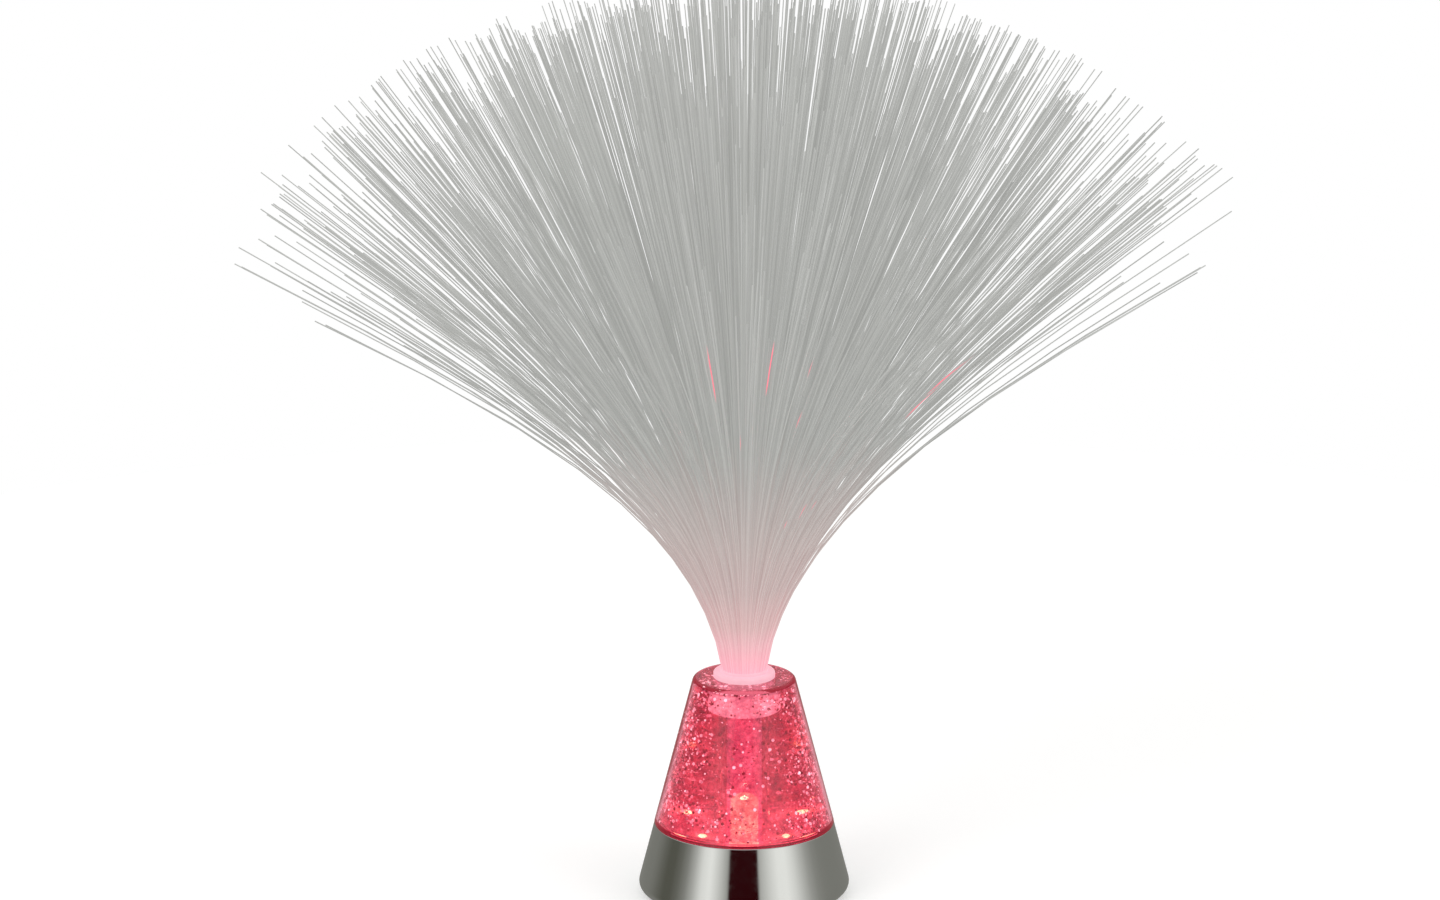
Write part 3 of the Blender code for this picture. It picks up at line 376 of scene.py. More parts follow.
def blend_stops(tree, factor, stops):
    """A colour that follows a factor through (place, linear colour) stops."""
    ramp = add_node(tree, "ShaderNodeValToRGB", links={"Fac": factor})
    elements = ramp.color_ramp.elements
    while len(elements) > 1:
        elements.remove(elements[-1])
    elements[0].position, elements[0].color = stops[0]
    for position, colour in stops[1:]:
        elements.new(position).color = colour
    return ramp.outputs["Color"]


def height_share(tree, at, low, high):
    """A share that grows from 0 to 1 between two heights."""
    height = add_node(tree, "ShaderNodeSeparateXYZ", links={"Vector": at}).outputs["Z"]
    share = add_node(tree, "ShaderNodeMapRange", {"From Min": low, "From Max": high}, {"Value": height})
    return share.outputs["Result"]


def moulded(name, colour, worn, roughness, grain_mm, grain_depth_mm, **more):
    """Plain moulded plastic: an even colour that wanders a little, over a fine spark-eroded grain."""
    made, tree, at = new_material(name)
    clouds = add_node(
        tree, "ShaderNodeTexNoise", {"Scale": 1 / (14 * MM), "Detail": 4.0}, {"Vector": at})
    tone = blend_stops(tree, clouds.outputs["Fac"], [(0.3, shade_of(colour)), (0.7, shade_of(worn))])
    grain = add_node(
        tree, "ShaderNodeTexNoise", {"Scale": 1 / (grain_mm * MM), "Detail": 3.0}, {"Vector": at})
    bump = add_node(
        tree, "ShaderNodeBump", {"Strength": 0.6, "Distance": grain_depth_mm * MM},
        {"Height": grain.outputs["Fac"]})
    gloss = add_node(
        tree, "ShaderNodeMapRange", {"To Min": roughness * 0.85, "To Max": roughness * 1.15},
        {"Value": grain.outputs["Fac"]})
    end_material(tree, more, {
        "Base Color": tone, "Roughness": gloss.outputs["Result"], "Normal": bump.outputs["Normal"]})
    return made


def chrome_plated_abs(colour):
    """Bright chrome over moulded ABS: a mirror, with the moulding's faint waves under it."""
    made, tree, at = new_material("chrome_plated_abs")
    waves = add_node(
        tree, "ShaderNodeTexNoise", {"Scale": 1 / (9 * MM), "Detail": 1.0}, {"Vector": at})
    haze = add_node(
        tree, "ShaderNodeTexNoise", {"Scale": 1 / (2.5 * MM), "Detail": 6.0}, {"Vector": at})
    gloss = add_node(tree, "ShaderNodeMapRange", {
        "From Min": 0.35, "From Max": 0.75, "To Min": 0.06, "To Max": 0.12,
    }, {"Value": haze.outputs["Fac"]})
    bump = add_node(
        tree, "ShaderNodeBump", {"Strength": 0.35, "Distance": 0.02 * MM},
        {"Height": waves.outputs["Fac"]})
    end_material(tree, {"Base Color": (*colour, 1.0), "Metallic": 1.0}, {
        "Roughness": gloss.outputs["Result"], "Normal": bump.outputs["Normal"]})
    return made


def clear_styrene(name, colour, painted_glow, glow):
    """Injection moulded clear polystyrene: glassy, thick enough to bend what is behind it, with a
    painted glow in its emission.
    """
    made, tree, at = new_material(name)
    flow = add_node(
        tree, "ShaderNodeTexNoise", {"Scale": 1 / (12 * MM), "Detail": 1.0}, {"Vector": at})
    bump = add_node(
        tree, "ShaderNodeBump", {"Strength": 0.2, "Distance": 0.05 * MM},
        {"Height": flow.outputs["Fac"]})
    end_material(tree, {
        "Base Color": shade_of(colour), "Roughness": 0.03, "IOR": 1.49, "Transmission Weight": 1.0,
        "Emission Color": shade_of(painted_glow), "Emission Strength": glow,
    }, {"Normal": bump.outputs["Normal"]})
    return made


def diode_places():
    """The middles of the five diodes."""
    boxes = [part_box(name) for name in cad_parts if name.startswith("led_") and name != "led_board"]
    return [(low + high) / 2 for low, high in boxes]


def glitter_water(colour):
    """Lit water full of foil dust: clouds of light and dark red, with a painted glow that is brightest
    near the diodes and at the foot, and painted shade on its top under the roof.
    """
    made, tree, at = new_material("glitter_water")
    swirl = add_node(
        tree, "ShaderNodeTexNoise", {"Scale": 1 / (7 * MM), "Detail": 5.0, "Distortion": 0.6},
        {"Vector": at})
    dust = add_node(
        tree, "ShaderNodeTexNoise", {"Scale": 1 / (1.3 * MM), "Detail": 3.0}, {"Vector": at})
    mixed = add_node(
        tree, "ShaderNodeMix", {0: 0.45}, {2: swirl.outputs["Fac"], 3: dust.outputs["Fac"]})
    tone = blend_stops(tree, mixed.outputs[0], [
        (0.36, shade_of("#7C3048")), (0.46, shade_of("#AC4A60")), (0.54, (*colour, 1.0)),
        (0.66, shade_of("#F496A6"))])
    # painted glow that fades with height, and painted shade on the top under the roof
    share = height_share(tree, at, LIQUID_LOW.z, LIQUID_HIGH.z)
    glow = blend_stops(tree, share, [
        (place, (level, level, level, 1))
        for place, level in ((0.0, 0.6), (0.12, 0.36), (0.4, 0.17), (0.985, 0.15), (1.0, 0.02))])
    shade = blend_stops(tree, share, [(0.98, (1, 1, 1, 1)), (1.0, (0.35, 0.25, 0.35, 1))])
    body, spread = (
        add_node(
            tree, "ShaderNodeMix", {"data_type": "RGBA", "blend_type": "MULTIPLY", 0: 1.0},
            {6: tone, 7: level})
        for level in (shade, glow))
    # painted pools of light over the diodes
    pool = diode_glow(tree, at, LIQUID_LOW.z, [
        (0.0, (7, 6.5, 2.5, 1)), (0.07, (4, 3.4, 1.2, 1)), (0.16, (1.2, 0.6, 0.3, 1)),
        (0.35, (0.45, 0.2, 0.15, 1)), (0.7, (0.12, 0.06, 0.05, 1)), (1.0, (0, 0, 0, 1))])
    light = add_node(
        tree, "ShaderNodeMix", {"data_type": "RGBA", "blend_type": "ADD", 0: 1.0},
        {6: spread.outputs[2], 7: pool})
    end_material(tree, {
        "Roughness": 0.05, "IOR": 1.33, "Transmission Weight": 0.85, "Emission Strength": 1.0,
    }, {"Base Color": body.outputs[2], "Emission Color": light.outputs[2]})
    return made


def polyester_foil(name, colour, roughness):
    """Glitter flakes, cut from metallised polyester film: small flat mirrors, with a painted glint: a
    random value per flake gives a painted highlight in its emission and a painted shade in its colour.
    """
    made, tree, at = new_material(name)
    spots = add_node(
        tree, "ShaderNodeTexNoise", {"Scale": 1 / (1.5 * MM), "Detail": 1.0}, {"Vector": at})
    tone = blend_stops(
        tree, spots.outputs["Fac"], [(0.35, shade_of("#FFFFFF")), (0.65, shade_of(colour))])
    # painted glint and painted shade, set by a random value per flake and not by how the flake lies
    flash = add_node(tree, "ShaderNodeAttribute", {"attribute_name": "painted_glint"}).outputs["Fac"]
    painted_glint_shade = blend_stops(tree, flash, [
        (0.0, shade_of("#7C1430")), (0.45, shade_of("#C03C58")), (0.55, (1, 1, 1, 1))])
    shade = add_node(
        tree, "ShaderNodeMix", {"data_type": "RGBA", "blend_type": "MULTIPLY", 0: 1.0},
        {6: tone, 7: painted_glint_shade})
    light = blend_stops(tree, flash, [
        (0.5, (0, 0, 0, 1)), (0.6, (0.5, 0.2, 0.25, 1)), (0.8, (1.0, 0.6, 0.65, 1)),
        (1.0, (1.8, 1.7, 1.7, 1))])
    end_material(
        tree, {"Metallic": 0.8, "Roughness": roughness, "Emission Strength": 1.0},
        {"Base Color": shade.outputs[2], "Emission Color": light})
    return made


def lit_nylon(name, low, high, glows):
    """White nylon that light passes into: matt, with a painted pink glow in its emission, set by
    height.
    """
    made, tree, at = new_material(name)
    light = blend_stops(
        tree, height_share(tree, at, low, high), [(place, (*level, 1)) for place, level in glows])
    clouds = add_node(
        tree, "ShaderNodeTexNoise", {"Scale": 1 / (3 * MM), "Detail": 3.0}, {"Vector": at})
    tone = blend_stops(
        tree, clouds.outputs["Fac"], [(0.3, shade_of("#8E787C")), (0.7, shade_of("#988286"))])
    end_material(
        tree, {"Roughness": 0.4, "Emission Strength": 1.0},
        {"Base Color": tone, "Emission Color": light})
    return made


def acrylic_fibre(colour):
    """Drawn acrylic fibre: grey in daylight, glossy along its length, with a painted grey glow that
    evens out the shade between fibres, a painted pink glow where light enters it, and painted pink
    highlights at the leaks.
    """
    made, tree, at = new_material("drawn_acrylic_fibre")
    tone = add_node(tree, "ShaderNodeAttribute", {"attribute_name": "fibre_tone"}).outputs["Fac"]
    leak = add_node(tree, "ShaderNodeAttribute", {"attribute_name": "fibre_leak"}).outputs["Fac"]
    # painted glow: the emission's grey share evens out the shade between fibres
    body, painted_glow = (
        blend_stops(tree, tone, [
            (place, (*(c * level for c in colour), 1.0)) for place, level in enumerate(levels)])
        for levels in ((0.42, 0.58), (0.5, 0.62)))
    # painted pink glow of the entering light, fading with height
    entering = blend_stops(tree, height_share(tree, at, ENTRY_LOW, ENTRY_HIGH), [
        (0.0, (0.6, 0.10, 0.20, 1)), (0.07, (0.5, 0.07, 0.14, 1)), (0.2, (0.26, 0.045, 0.06, 1)),
        (0.36, (0.14, 0.03, 0.035, 1)), (0.6, (0.09, 0.03, 0.03, 1)), (1.0, (0, 0, 0, 1))])
    both = add_node(
        tree, "ShaderNodeMix", {"data_type": "RGBA", "blend_type": "ADD", 0: 1.0},
        {6: entering, 7: painted_glow})
    # painted pink highlights at the marked leaks
    leak_highlight = add_node(
        tree, "ShaderNodeMapRange", {"From Min": 0.5, "From Max": 0.7}, {"Value": leak})
    leaking = add_node(
        tree, "ShaderNodeMix", {"data_type": "RGBA", 7: shade_of("#FF5A78")},
        {0: leak_highlight.outputs["Result"], 6: both.outputs[2]})
    end_material(tree, {
        "Roughness": 0.35, "IOR": 1.49, "Emission Strength": 1.0,
    }, {"Base Color": body, "Emission Color": leaking.outputs[2]})
    return made


def diode_glow(tree, at, height, stops):
    """Painted light that falls off with the distance from the nearest diode, seen at this height."""
    nearest = None
    for place in diode_places():
        gap = add_node(
            tree, "ShaderNodeVectorMath", {"operation": "DISTANCE", 1: (*place.xy, height)}, {0: at})
        gap = gap.outputs["Value"]
        if nearest is not None:
            least = add_node(tree, "ShaderNodeMath", {"operation": "MINIMUM"}, {0: nearest, 1: gap})
            gap = least.outputs[0]
        nearest = gap
    share = add_node(tree, "ShaderNodeMapRange", {"From Max": POOL_R}, {"Value": nearest})
    return blend_stops(tree, share.outputs["Result"], stops)


def lit_floor_styrene():
    """The bottle's clear floor, with a painted glow all over and a painted pool of warm light over each
    diode.
    """
    made, tree, at = new_material("lit_floor_styrene")
    pool = diode_glow(tree, at, FLOOR_HIGH.z, [
        (0.0, (2.0, 2.4, 0.9, 1)), (0.2, (1.3, 1.3, 0.6, 1)), (0.45, (0.8, 0.4, 0.35, 1)),
        (1.0, (0.6, 0.25, 0.28, 1))])
    end_material(
        tree, {"Base Color": shade_of("#F08C9C"), "Roughness": 0.15, "Emission Strength": 1.0},
        {"Emission Color": pool})
    return made


def lit_guide_styrene():
    """The clear rod in the light tube: a painted salmon glow from its lit foot up, with a painted
    bright tip.
    """
    made, tree, at = new_material("lit_guide_styrene")
    light = blend_stops(tree, height_share(tree, at, GUIDE_LOW.z, GUIDE_HIGH.z), [
        (0.0, (2.5, 14, 4, 1)), (0.12, (2, 11, 3.2, 1)), (0.3, (1.1, 7.0, 2.1, 1)),
        (0.9, (1.0, 6.5, 2.0, 1)), (0.92, (14, 70, 20, 1)), (1.0, (14, 70, 20, 1))])
    end_material(
        tree, {"Base Color": shade_of("#FFC8B0"), "Roughness": 0.2, "Emission Strength": 1.0},
        {"Emission Color": light})
    return made


def lit_styrene(name, colour, strength, tone):
    """Clear styrene over a diode: the whole lens shines with an emission, which is the diode's own
    light on its epoxy and a painted glow on the floor's lenses.
    """
    made, tree, at = new_material(name)
    fog = add_node(tree, "ShaderNodeTexNoise", {"Scale": 1 / (2 * MM)}, {"Vector": at})
    light = blend_stops(tree, fog.outputs["Fac"], [(0.3, shade_of(colour)), (0.7, shade_of(tone))])
    end_material(tree, {
        "Base Color": shade_of(tone), "Roughness": 0.2, "Emission Strength": strength,
    }, {"Emission Color": light})
    return made


# Pieces


def chromed_shell():
    """The conical base: rounded at the foot, with a flat rim round the bottle."""
    rim_bore = cone_radius(RIM_Z) - RIM_W
    rim_edge = cone_radius(RIM_Z) - RIM_ROUND
    step_z = BOTTLE_LOW.z - 2 * FIT
    plate_bore = PLATE_HIGH.x + FIT
    ledge_z = BASE_LOW.z + LEDGE_H
    return turned("chromed_shell", [
        *arc(BASE_R - FOOT_ROUND, BASE_LOW.z + FOOT_ROUND, FOOT_ROUND, -math.pi / 2, CONE_LEAN),
        *arc(rim_edge, RIM_Z - RIM_ROUND, RIM_ROUND, CONE_LEAN, math.pi / 2),
        (rim_bore, RIM_Z),
        (rim_bore, step_z),
        (cone_radius(step_z) - SHELL_WALL, step_z),
        (cone_radius(ledge_z + SHELL_WALL) - SHELL_WALL, ledge_z + SHELL_WALL),
        (plate_bore - LEDGE_W, ledge_z + SHELL_WALL),
        (plate_bore - LEDGE_W, ledge_z),
        (plate_bore, ledge_z),
        (plate_bore, BASE_LOW.z),
    ])


def bottle_shell():
    """The clear bottle: spigot, cone, rounded shoulder and neck, one wall thick."""
    shoulder_z = RIM_Z + FIT
    bore = BOTTLE_WALL + RIM_W + FIT
    spigot_r = cone_radius(RIM_Z) - RIM_W - FIT
    neck_r = BARREL_R + FIT
    ceiling = BOTTLE_HIGH.z - BOTTLE_ROOF
    shoulder_r = cone_radius(BOTTLE_HIGH.z) - SHOULDER_ROUND
    flare_z = shoulder_z + BOTTLE_WALL
    return turned("bottle_shell", [
        (spigot_r, BOTTLE_LOW.z),
        (spigot_r, shoulder_z),
        (cone_radius(shoulder_z), shoulder_z),
        *arc(shoulder_r, BOTTLE_HIGH.z - SHOULDER_ROUND, SHOULDER_ROUND, CONE_LEAN, math.pi / 2),
        (neck_r, BOTTLE_HIGH.z),
        (neck_r, ceiling),
        (cone_radius(ceiling) - BOTTLE_WALL, ceiling),
        (cone_radius(flare_z) - BOTTLE_WALL, flare_z),
        (cone_radius(RIM_Z) - bore, shoulder_z),
        (cone_radius(RIM_Z) - bore, BOTTLE_LOW.z),
    ])


def liquid_body(layer):
    """The glowing body of the liquid, a clear layer inside the bottle's wall."""
    ceiling = BOTTLE_HIGH.z - BOTTLE_ROOF - FIT
    inset = BOTTLE_WALL + layer
    low_z = LIQUID_LOW.z
    barrel = BARREL_R - FIT  # it wets the barrel
    return turned("liquid_body", [
        (cone_radius(RIM_Z) - RIM_W - FIT - inset, low_z),
        (cone_radius(RIM_Z) - RIM_W - FIT - inset, RIM_Z),
        (cone_radius(RIM_Z + 2 * BOTTLE_WALL) - inset, RIM_Z + 2 * BOTTLE_WALL),
        (cone_radius(ceiling) - inset, ceiling),
        (barrel, ceiling),
        (barrel, COLLAR_LOW.z + FIT),
        (TUBE_HIGH.x + FIT, COLLAR_LOW.z + FIT),
        (TUBE_HIGH.x + FIT, low_z),
    ])


def flake_places(settings, chance, count, layer):
    """Where the flakes of one layer drift: by the wall, deep in the liquid or under the roof."""
    places = []
    ceiling = BOTTLE_HIGH.z - BOTTLE_ROOF
    low, high = LIQUID_LOW.z + OFF_FLOOR, ceiling - OFF_ROOF
    while len(places) < count:
        height = chance.uniform(low, high)
        turn = chance.uniform(0, math.tau)
        wall_r = cone_radius(height) - BOTTLE_WALL
        radius = wall_r - settings.layer * chance.uniform(0.4, 0.7)
        lean, wobble = math.pi / 2 - CONE_LEAN, WALL_WOBBLE
        if layer == "deep":
            radius = chance.uniform(0.5, 0.97) * (wall_r - settings.layer)
            wobble = DEEP_WOBBLE
        elif layer == "roof":
            height, lean, wobble = ceiling - FIT * chance.uniform(0.4, 0.6), 0.0, ROOF_WOBBLE
            radius = chance.uniform(BARREL_R + 1 * MM, cone_radius(ceiling) - BOTTLE_WALL - 1 * MM)
        # Swirls wind up round the bottle, and few flakes pass in the middle of the front and back
        swirl = 0.5 + 0.5 * math.sin(3 * turn + 110 * height) * math.cos(2 * turn - 160 * height)
        crowd = 0.12 + 0.88 * abs(math.cos(turn)) ** 2
        if layer != "roof" and chance.random() > swirl * crowd:
            continue
        tilt = Matrix.Rotation(chance.gauss(0, wobble), 4, "Z") @ Matrix.Rotation(
            lean + chance.gauss(0, wobble), 4, "Y") @ Matrix.Rotation(chance.uniform(0, 3), 4, "Z")
        size = settings.flake_size * chance.choice(FLAKE_SIZES)
        places.append(
            Matrix.Rotation(turn, 4, "Z") @ Matrix.Translation((radius, 0, height)) @ tilt
            @ Matrix.Scale(size, 4))
    return places


def flake_shape():
    """One hexagonal flake, a unit across."""
    shape = bmesh.new()
    bmesh.ops.create_circle(shape, cap_ends=True, segments=6, radius=0.5)
    grown = bmesh.ops.extrude_face_region(shape, geom=shape.faces[:])
    moved = [item for item in grown["geom"] if isinstance(item, bmesh.types.BMVert)]
    bmesh.ops.translate(shape, verts=moved, vec=(0, 0, FLAKE_THICKNESS))
    bmesh.ops.recalc_face_normals(shape, faces=shape.faces)
    return shape


def fibre_paths(settings):
    """Points of every fibre, (fibre, point, xyz), and the azimuth of its root."""
    chance = np.random.default_rng(settings.seed)
    count = settings.count
    number = np.arange(count)
    golden = math.pi * (3 - math.sqrt(5))
    edge_r = FERRULE_HIGH.x - FERRULE_WALL - settings.fibre_r - 0.1 * MM
    share = np.sqrt((number + 0.5) / count)
    azimuth = (number * golden) % math.tau
    # Each tip moves towards the middle of the nearest lock
    plan = np.stack((share * np.cos(azimuth), share * np.sin(azimuth)), 1)
    lock = np.arange(settings.locks)
    lock_share = np.sqrt((lock + 0.5) / settings.locks) * LOCK_REACH
    lock_turn = lock * golden + chance.normal(0, LOCK_STRAY, settings.locks)
    middles = np.stack((lock_share * np.cos(lock_turn), lock_share * np.sin(lock_turn)), 1)
    nearest = np.argmin(((plan[:, None] - middles[None]) ** 2).sum(2), 1)
    pull = settings.gather * chance.uniform(PULL_LEAST, PULL_MOST, count)[:, None]
    aim = plan + (middles[nearest] - plan) * pull + chance.normal(0, STRAY, (count, 2))
    spread = np.clip(np.hypot(aim[:, 0], aim[:, 1]), 0.0, 1.0)
    heading = np.arctan2(aim[:, 1], aim[:, 0])
    drift = (heading - azimuth + math.pi) % math.tau - math.pi
    drift = np.where(share < STRAIGHT_SHARE, 0.0, drift)
    lock_length = 1 - LOCK_SHORTER * chance.random(settings.locks) ** 2
    length = settings.length * lock_length[nearest] * (1 - settings.shorter * chance.random(count) ** 5)
    narrower = 1 - LEFT_LEAN * np.cos(heading)
    final = settings.edge_lean * (EVEN_LEAN * spread + EDGE_LEAN * spread ** EDGE_POWER) * narrower
    root_lean = ROOT_LEAN * share
    step_l = length / PATH_STEPS
    track = [np.stack((
        edge_r * share * np.cos(azimuth), edge_r * share * np.sin(azimuth),
        np.full(count, FERRULE_HIGH.z - ROOT_DEPTH)), 1)]
    for step in range(PATH_STEPS):
        along = step_l * (step + 0.5)
        rise = 1 - np.exp(-along / BEND_L)
        lean = root_lean + (final - root_lean) * rise
        turn = azimuth + drift * np.minimum(1.0, rise * TURN_RATE)
        step_xyz = np.stack(
            (np.sin(lean) * np.cos(turn), np.sin(lean) * np.sin(turn), np.cos(lean)), 1)
        track.append(track[-1] + step_xyz * step_l[:, None])
    return np.stack(track, 1)[:, PATH_KEPT], azimuth


def leaking_points(paths, elevation):
    """Marks the front fibre nearest to each place where light leaks out sideways, for a painted pink
    highlight.
    """
    leaks = np.zeros(paths.shape[:2])
    beside, behind = paths[:, :, 0], paths[:, :, 1]
    seen_z = paths[:, :, 2] + behind * math.tan(elevation)
    for side, height, strength in LEAKS:
        gap = np.hypot(beside - side * MM, seen_z - height * MM) / MM
        front = behind / np.maximum(0.01, np.abs(paths[:, :, 2] - FERRULE_HIGH.z))
        score = gap + LEAK_FRONT * front
        score[leaks.any(1)] = math.inf
        score[gap > LEAK_REACH] = math.inf
        fibre, point = np.unravel_index(np.argmin(score), score.shape)
        leaks[fibre, point] = strength
    return leaks


def fibre_tuft(name, paths, fibre_r, tones, leaks):
    """Some fibres as one mesh: a round-bevelled curve made a mesh, with a tone for each fibre."""
    curve = bpy.data.curves.new(name, "CURVE")
    curve.dimensions = "3D"
    curve.bevel_depth = fibre_r
    curve.bevel_resolution = 0
    for path in paths:
        spline = curve.splines.new("POLY")
        spline.points.add(len(path) - 1)
        spline.points.foreach_set("co", np.column_stack((path, np.ones(len(path)))).ravel())
        spline.use_smooth = True
    holder = bpy.data.objects.new(name, curve)
    bpy.context.scene.collection.objects.link(holder)
    bpy.context.view_layer.update()
    graph = bpy.context.evaluated_depsgraph_get()
    mesh = bpy.data.meshes.new_from_object(holder.evaluated_get(graph))
    mesh.name = name
    bpy.data.objects.remove(holder)
    shape = bmesh.new()
    shape.from_mesh(mesh)
    bmesh.ops.holes_fill(shape, edges=[edge for edge in shape.edges if edge.is_boundary], sides=0)
    bmesh.ops.recalc_face_normals(shape, faces=shape.faces)
    shape.to_mesh(mesh)
    shape.free()
    corners = len(mesh.vertices) // leaks.size
    tone_row = np.repeat(tones, corners * leaks.shape[1])
    for label, values in (("fibre_tone", tone_row), ("fibre_leak", np.repeat(leaks.ravel(), corners))):
        row = mesh.attributes.new(label, "FLOAT", "POINT").data
        row.foreach_set("value", values.astype(np.float32))
    piece = bpy.data.objects.new(name, mesh)
    bpy.context.scene.collection.objects.link(piece)
    return piece


# Stage


def reflected_stops():
    """What polished metal sees all round, as (share of the turn, colour) stops."""
    left, right = GAP
    around = [-180, *range(-130, -20, 10), left - GAP_EDGE, right + GAP_EDGE, *range(30, 140, 10), 180]
    stops = [(left + GAP_EDGE, shade_of(GAP_TONE)), (right - GAP_EDGE, shade_of(GAP_TONE))]
    for degrees in around:
        lit = sum(strength * math.exp(-((degrees - middle) / width) ** 2)
                  for middle, width, strength in SOFTBOXES)
        stops.append((degrees, (*(min(1.0, level + lit) for level in linear(ROOM_TONE)), 1.0)))
    return [(0.5 + degrees / 360, colour) for degrees, colour in sorted(stops)]


def make_world(scene):
    """White behind the lamp, even light on it, and softboxes with a dark gap for polished metal."""
    world = bpy.data.worlds.new("studio")
    scene.world = world
    world.use_nodes = True
    tree = world.node_tree
    tree.nodes.clear()
    rays = add_node(tree, "ShaderNodeLightPath").outputs
    way = add_node(tree, "ShaderNodeTexCoord").outputs["Generated"]
    parts = add_node(tree, "ShaderNodeSeparateXYZ", links={"Vector": way}).outputs
    front = add_node(tree, "ShaderNodeMath", {"operation": "MULTIPLY", 1: -1.0}, {0: parts["Y"]})
    side = add_node(
        tree, "ShaderNodeMath", {"operation": "ARCTAN2"}, {0: parts["X"], 1: front.outputs[0]})
    share = add_node(
        tree, "ShaderNodeMapRange", {"From Min": -math.pi, "From Max": math.pi},
        {"Value": side.outputs[0]})
    studio = blend_stops(tree, share.outputs["Result"], reflected_stops())
    ceiling = add_node(
        tree, "ShaderNodeMapRange", {"From Min": 0.3, "From Max": 0.6}, {"Value": parts["Z"]})
    polished = add_node(
        tree, "ShaderNodeMix", {"data_type": "RGBA", 7: shade_of("#C8C8C6")},
        {0: ceiling.outputs["Result"], 6: studio})
    lit = add_node(
        tree, "ShaderNodeMix", {"data_type": "RGBA", 6: AMBIENT},
        {0: rays["Is Glossy Ray"], 7: polished.outputs[2]})
    seen = add_node(
        tree, "ShaderNodeMath", {"operation": "MAXIMUM"},
        {0: rays["Is Camera Ray"], 1: rays["Is Transmission Ray"]})
    shown = add_node(
        tree, "ShaderNodeMix", {"data_type": "RGBA", 7: (1, 1, 1, 1)},
        {0: seen.outputs[0], 6: lit.outputs[2]})
    light = add_node(tree, "ShaderNodeBackground", {"Strength": 1.0}, {"Color": shown.outputs[2]})
    add_node(tree, "ShaderNodeOutputWorld", links={"Surface": light.outputs[0]})


def make_floor(floor_r):
    """A plain pale floor that keeps the lamp's shadow."""
    shape = bmesh.new()
    bmesh.ops.create_circle(shape, cap_ends=True, segments=ROUND_STEPS, radius=floor_r)
    floor = mesh_object("studio_floor", shape, smooth=False)
    made, tree, _ = new_material("matt_floor")
    rays = add_node(tree, "ShaderNodeLightPath").outputs
    direct = add_node(
        tree, "ShaderNodeMath", {"operation": "MAXIMUM"},
        {0: rays["Is Camera Ray"], 1: rays["Is Transmission Ray"]})
    seen = add_node(
        tree, "ShaderNodeMath", {"operation": "MAXIMUM"},
        {0: direct.outputs[0], 1: rays["Is Glossy Ray"]})
    lift = add_node(
        tree, "ShaderNodeMath", {"operation": "MULTIPLY", 1: FLOOR_LIFT}, {0: seen.outputs[0]})
    matt = add_node(tree, "ShaderNodeBsdfPrincipled", {
        "Base Color": shade_of("#E9E9E8"), "Roughness": 0.9, "Specular IOR Level": 0.0,
        "Emission Color": (1, 1, 1, 1),
    }, {"Emission Strength": lift.outputs[0]})
    clear = add_node(tree, "ShaderNodeBsdfTransparent")
    mixed = add_node(
        tree, "ShaderNodeMixShader",
        links={0: rays["Is Glossy Ray"], 1: matt.outputs[0], 2: clear.outputs[0]})
    add_node(tree, "ShaderNodeOutputMaterial", links={"Surface": mixed.outputs[0]})
    floor.data.materials.append(made)


def make_lamps():
    """Two large soft lamps, left and right of the camera."""
    for name, place, power, size in SOFT_LAMPS:
        light = bpy.data.lights.new(name, "AREA")
        light.energy = power
        light.size = size
        lamp = bpy.data.objects.new(name, light)
        lamp.location = place
        lamp.rotation_euler = (Vector(LAMP_AIM) - Vector(place)).to_track_quat("-Z", "Y").to_euler()
        lamp.visible_glossy = False
        bpy.context.scene.collection.objects.link(lamp)


def make_camera(scene, settings):
    """The photograph's camera: in front, a little above, and level."""
    frame_w = PHOTO_W / settings.scale
    camera = bpy.data.cameras.new("photo_camera")
    camera.sensor_width = SENSOR_W
    camera.lens = SENSOR_W * settings.distance / frame_w
    camera.clip_start = 0.05
    camera.clip_end = 20.0
    view = bpy.data.objects.new("photo_camera", camera)
    back = settings.distance * math.cos(settings.elevation)
    up = settings.distance * math.sin(settings.elevation)
    view.location = (settings.aim_x, -back, settings.aim_z + up)
    view.rotation_euler = (math.pi / 2 - settings.elevation, 0, 0)
    scene.collection.objects.link(view)
    scene.camera = view


# Operators


class LAMP_OT_chromed_base(bpy.types.Operator):
    """Makes the chromed cone that everything stands in"""

    bl_idname = "lamp.chromed_base"
    bl_label = "Chromed Base"

    def execute(self, context):
        chrome = chrome_plated_abs(tuple(context.scene.lamp_colours.chrome))
        dress(chromed_shell(), chrome, "base", "chromed_abs", "base_shell")
        return {"FINISHED"}


class LAMP_OT_underside(bpy.types.Operator):
    """Finishes the base plate, the battery door, the switch, the screws and the feet"""

    bl_idname = "lamp.underside"
    bl_label = "Underside"

    def execute(self, context):
        repaint(moulded("moulded_grey_abs", "#3A3A3D", "#424246", 0.5, 0.5, 0.03),
                "base_plate", "battery_door")
        repaint(moulded("moulded_black_abs", "#161617", "#1D1D1F", 0.4, 0.5, 0.02),
                "switch_body", "switch_knob")
        repaint(moulded("moulded_black_rubber", "#1B1B1B", "#242424", 0.8, 0.3, 0.05),
                "rubber_foot_", "filler_plug")
        repaint(moulded("zinc_plated_steel", "#A9ABB0", "#BDBEBB", 0.32, 1.2, 0.01, Metallic=1.0),
                "base_screw_", "board_screw_", "door_screw", "contact_positive", "contact_negative",
                "contact_bridge_")
        return {"FINISHED"}


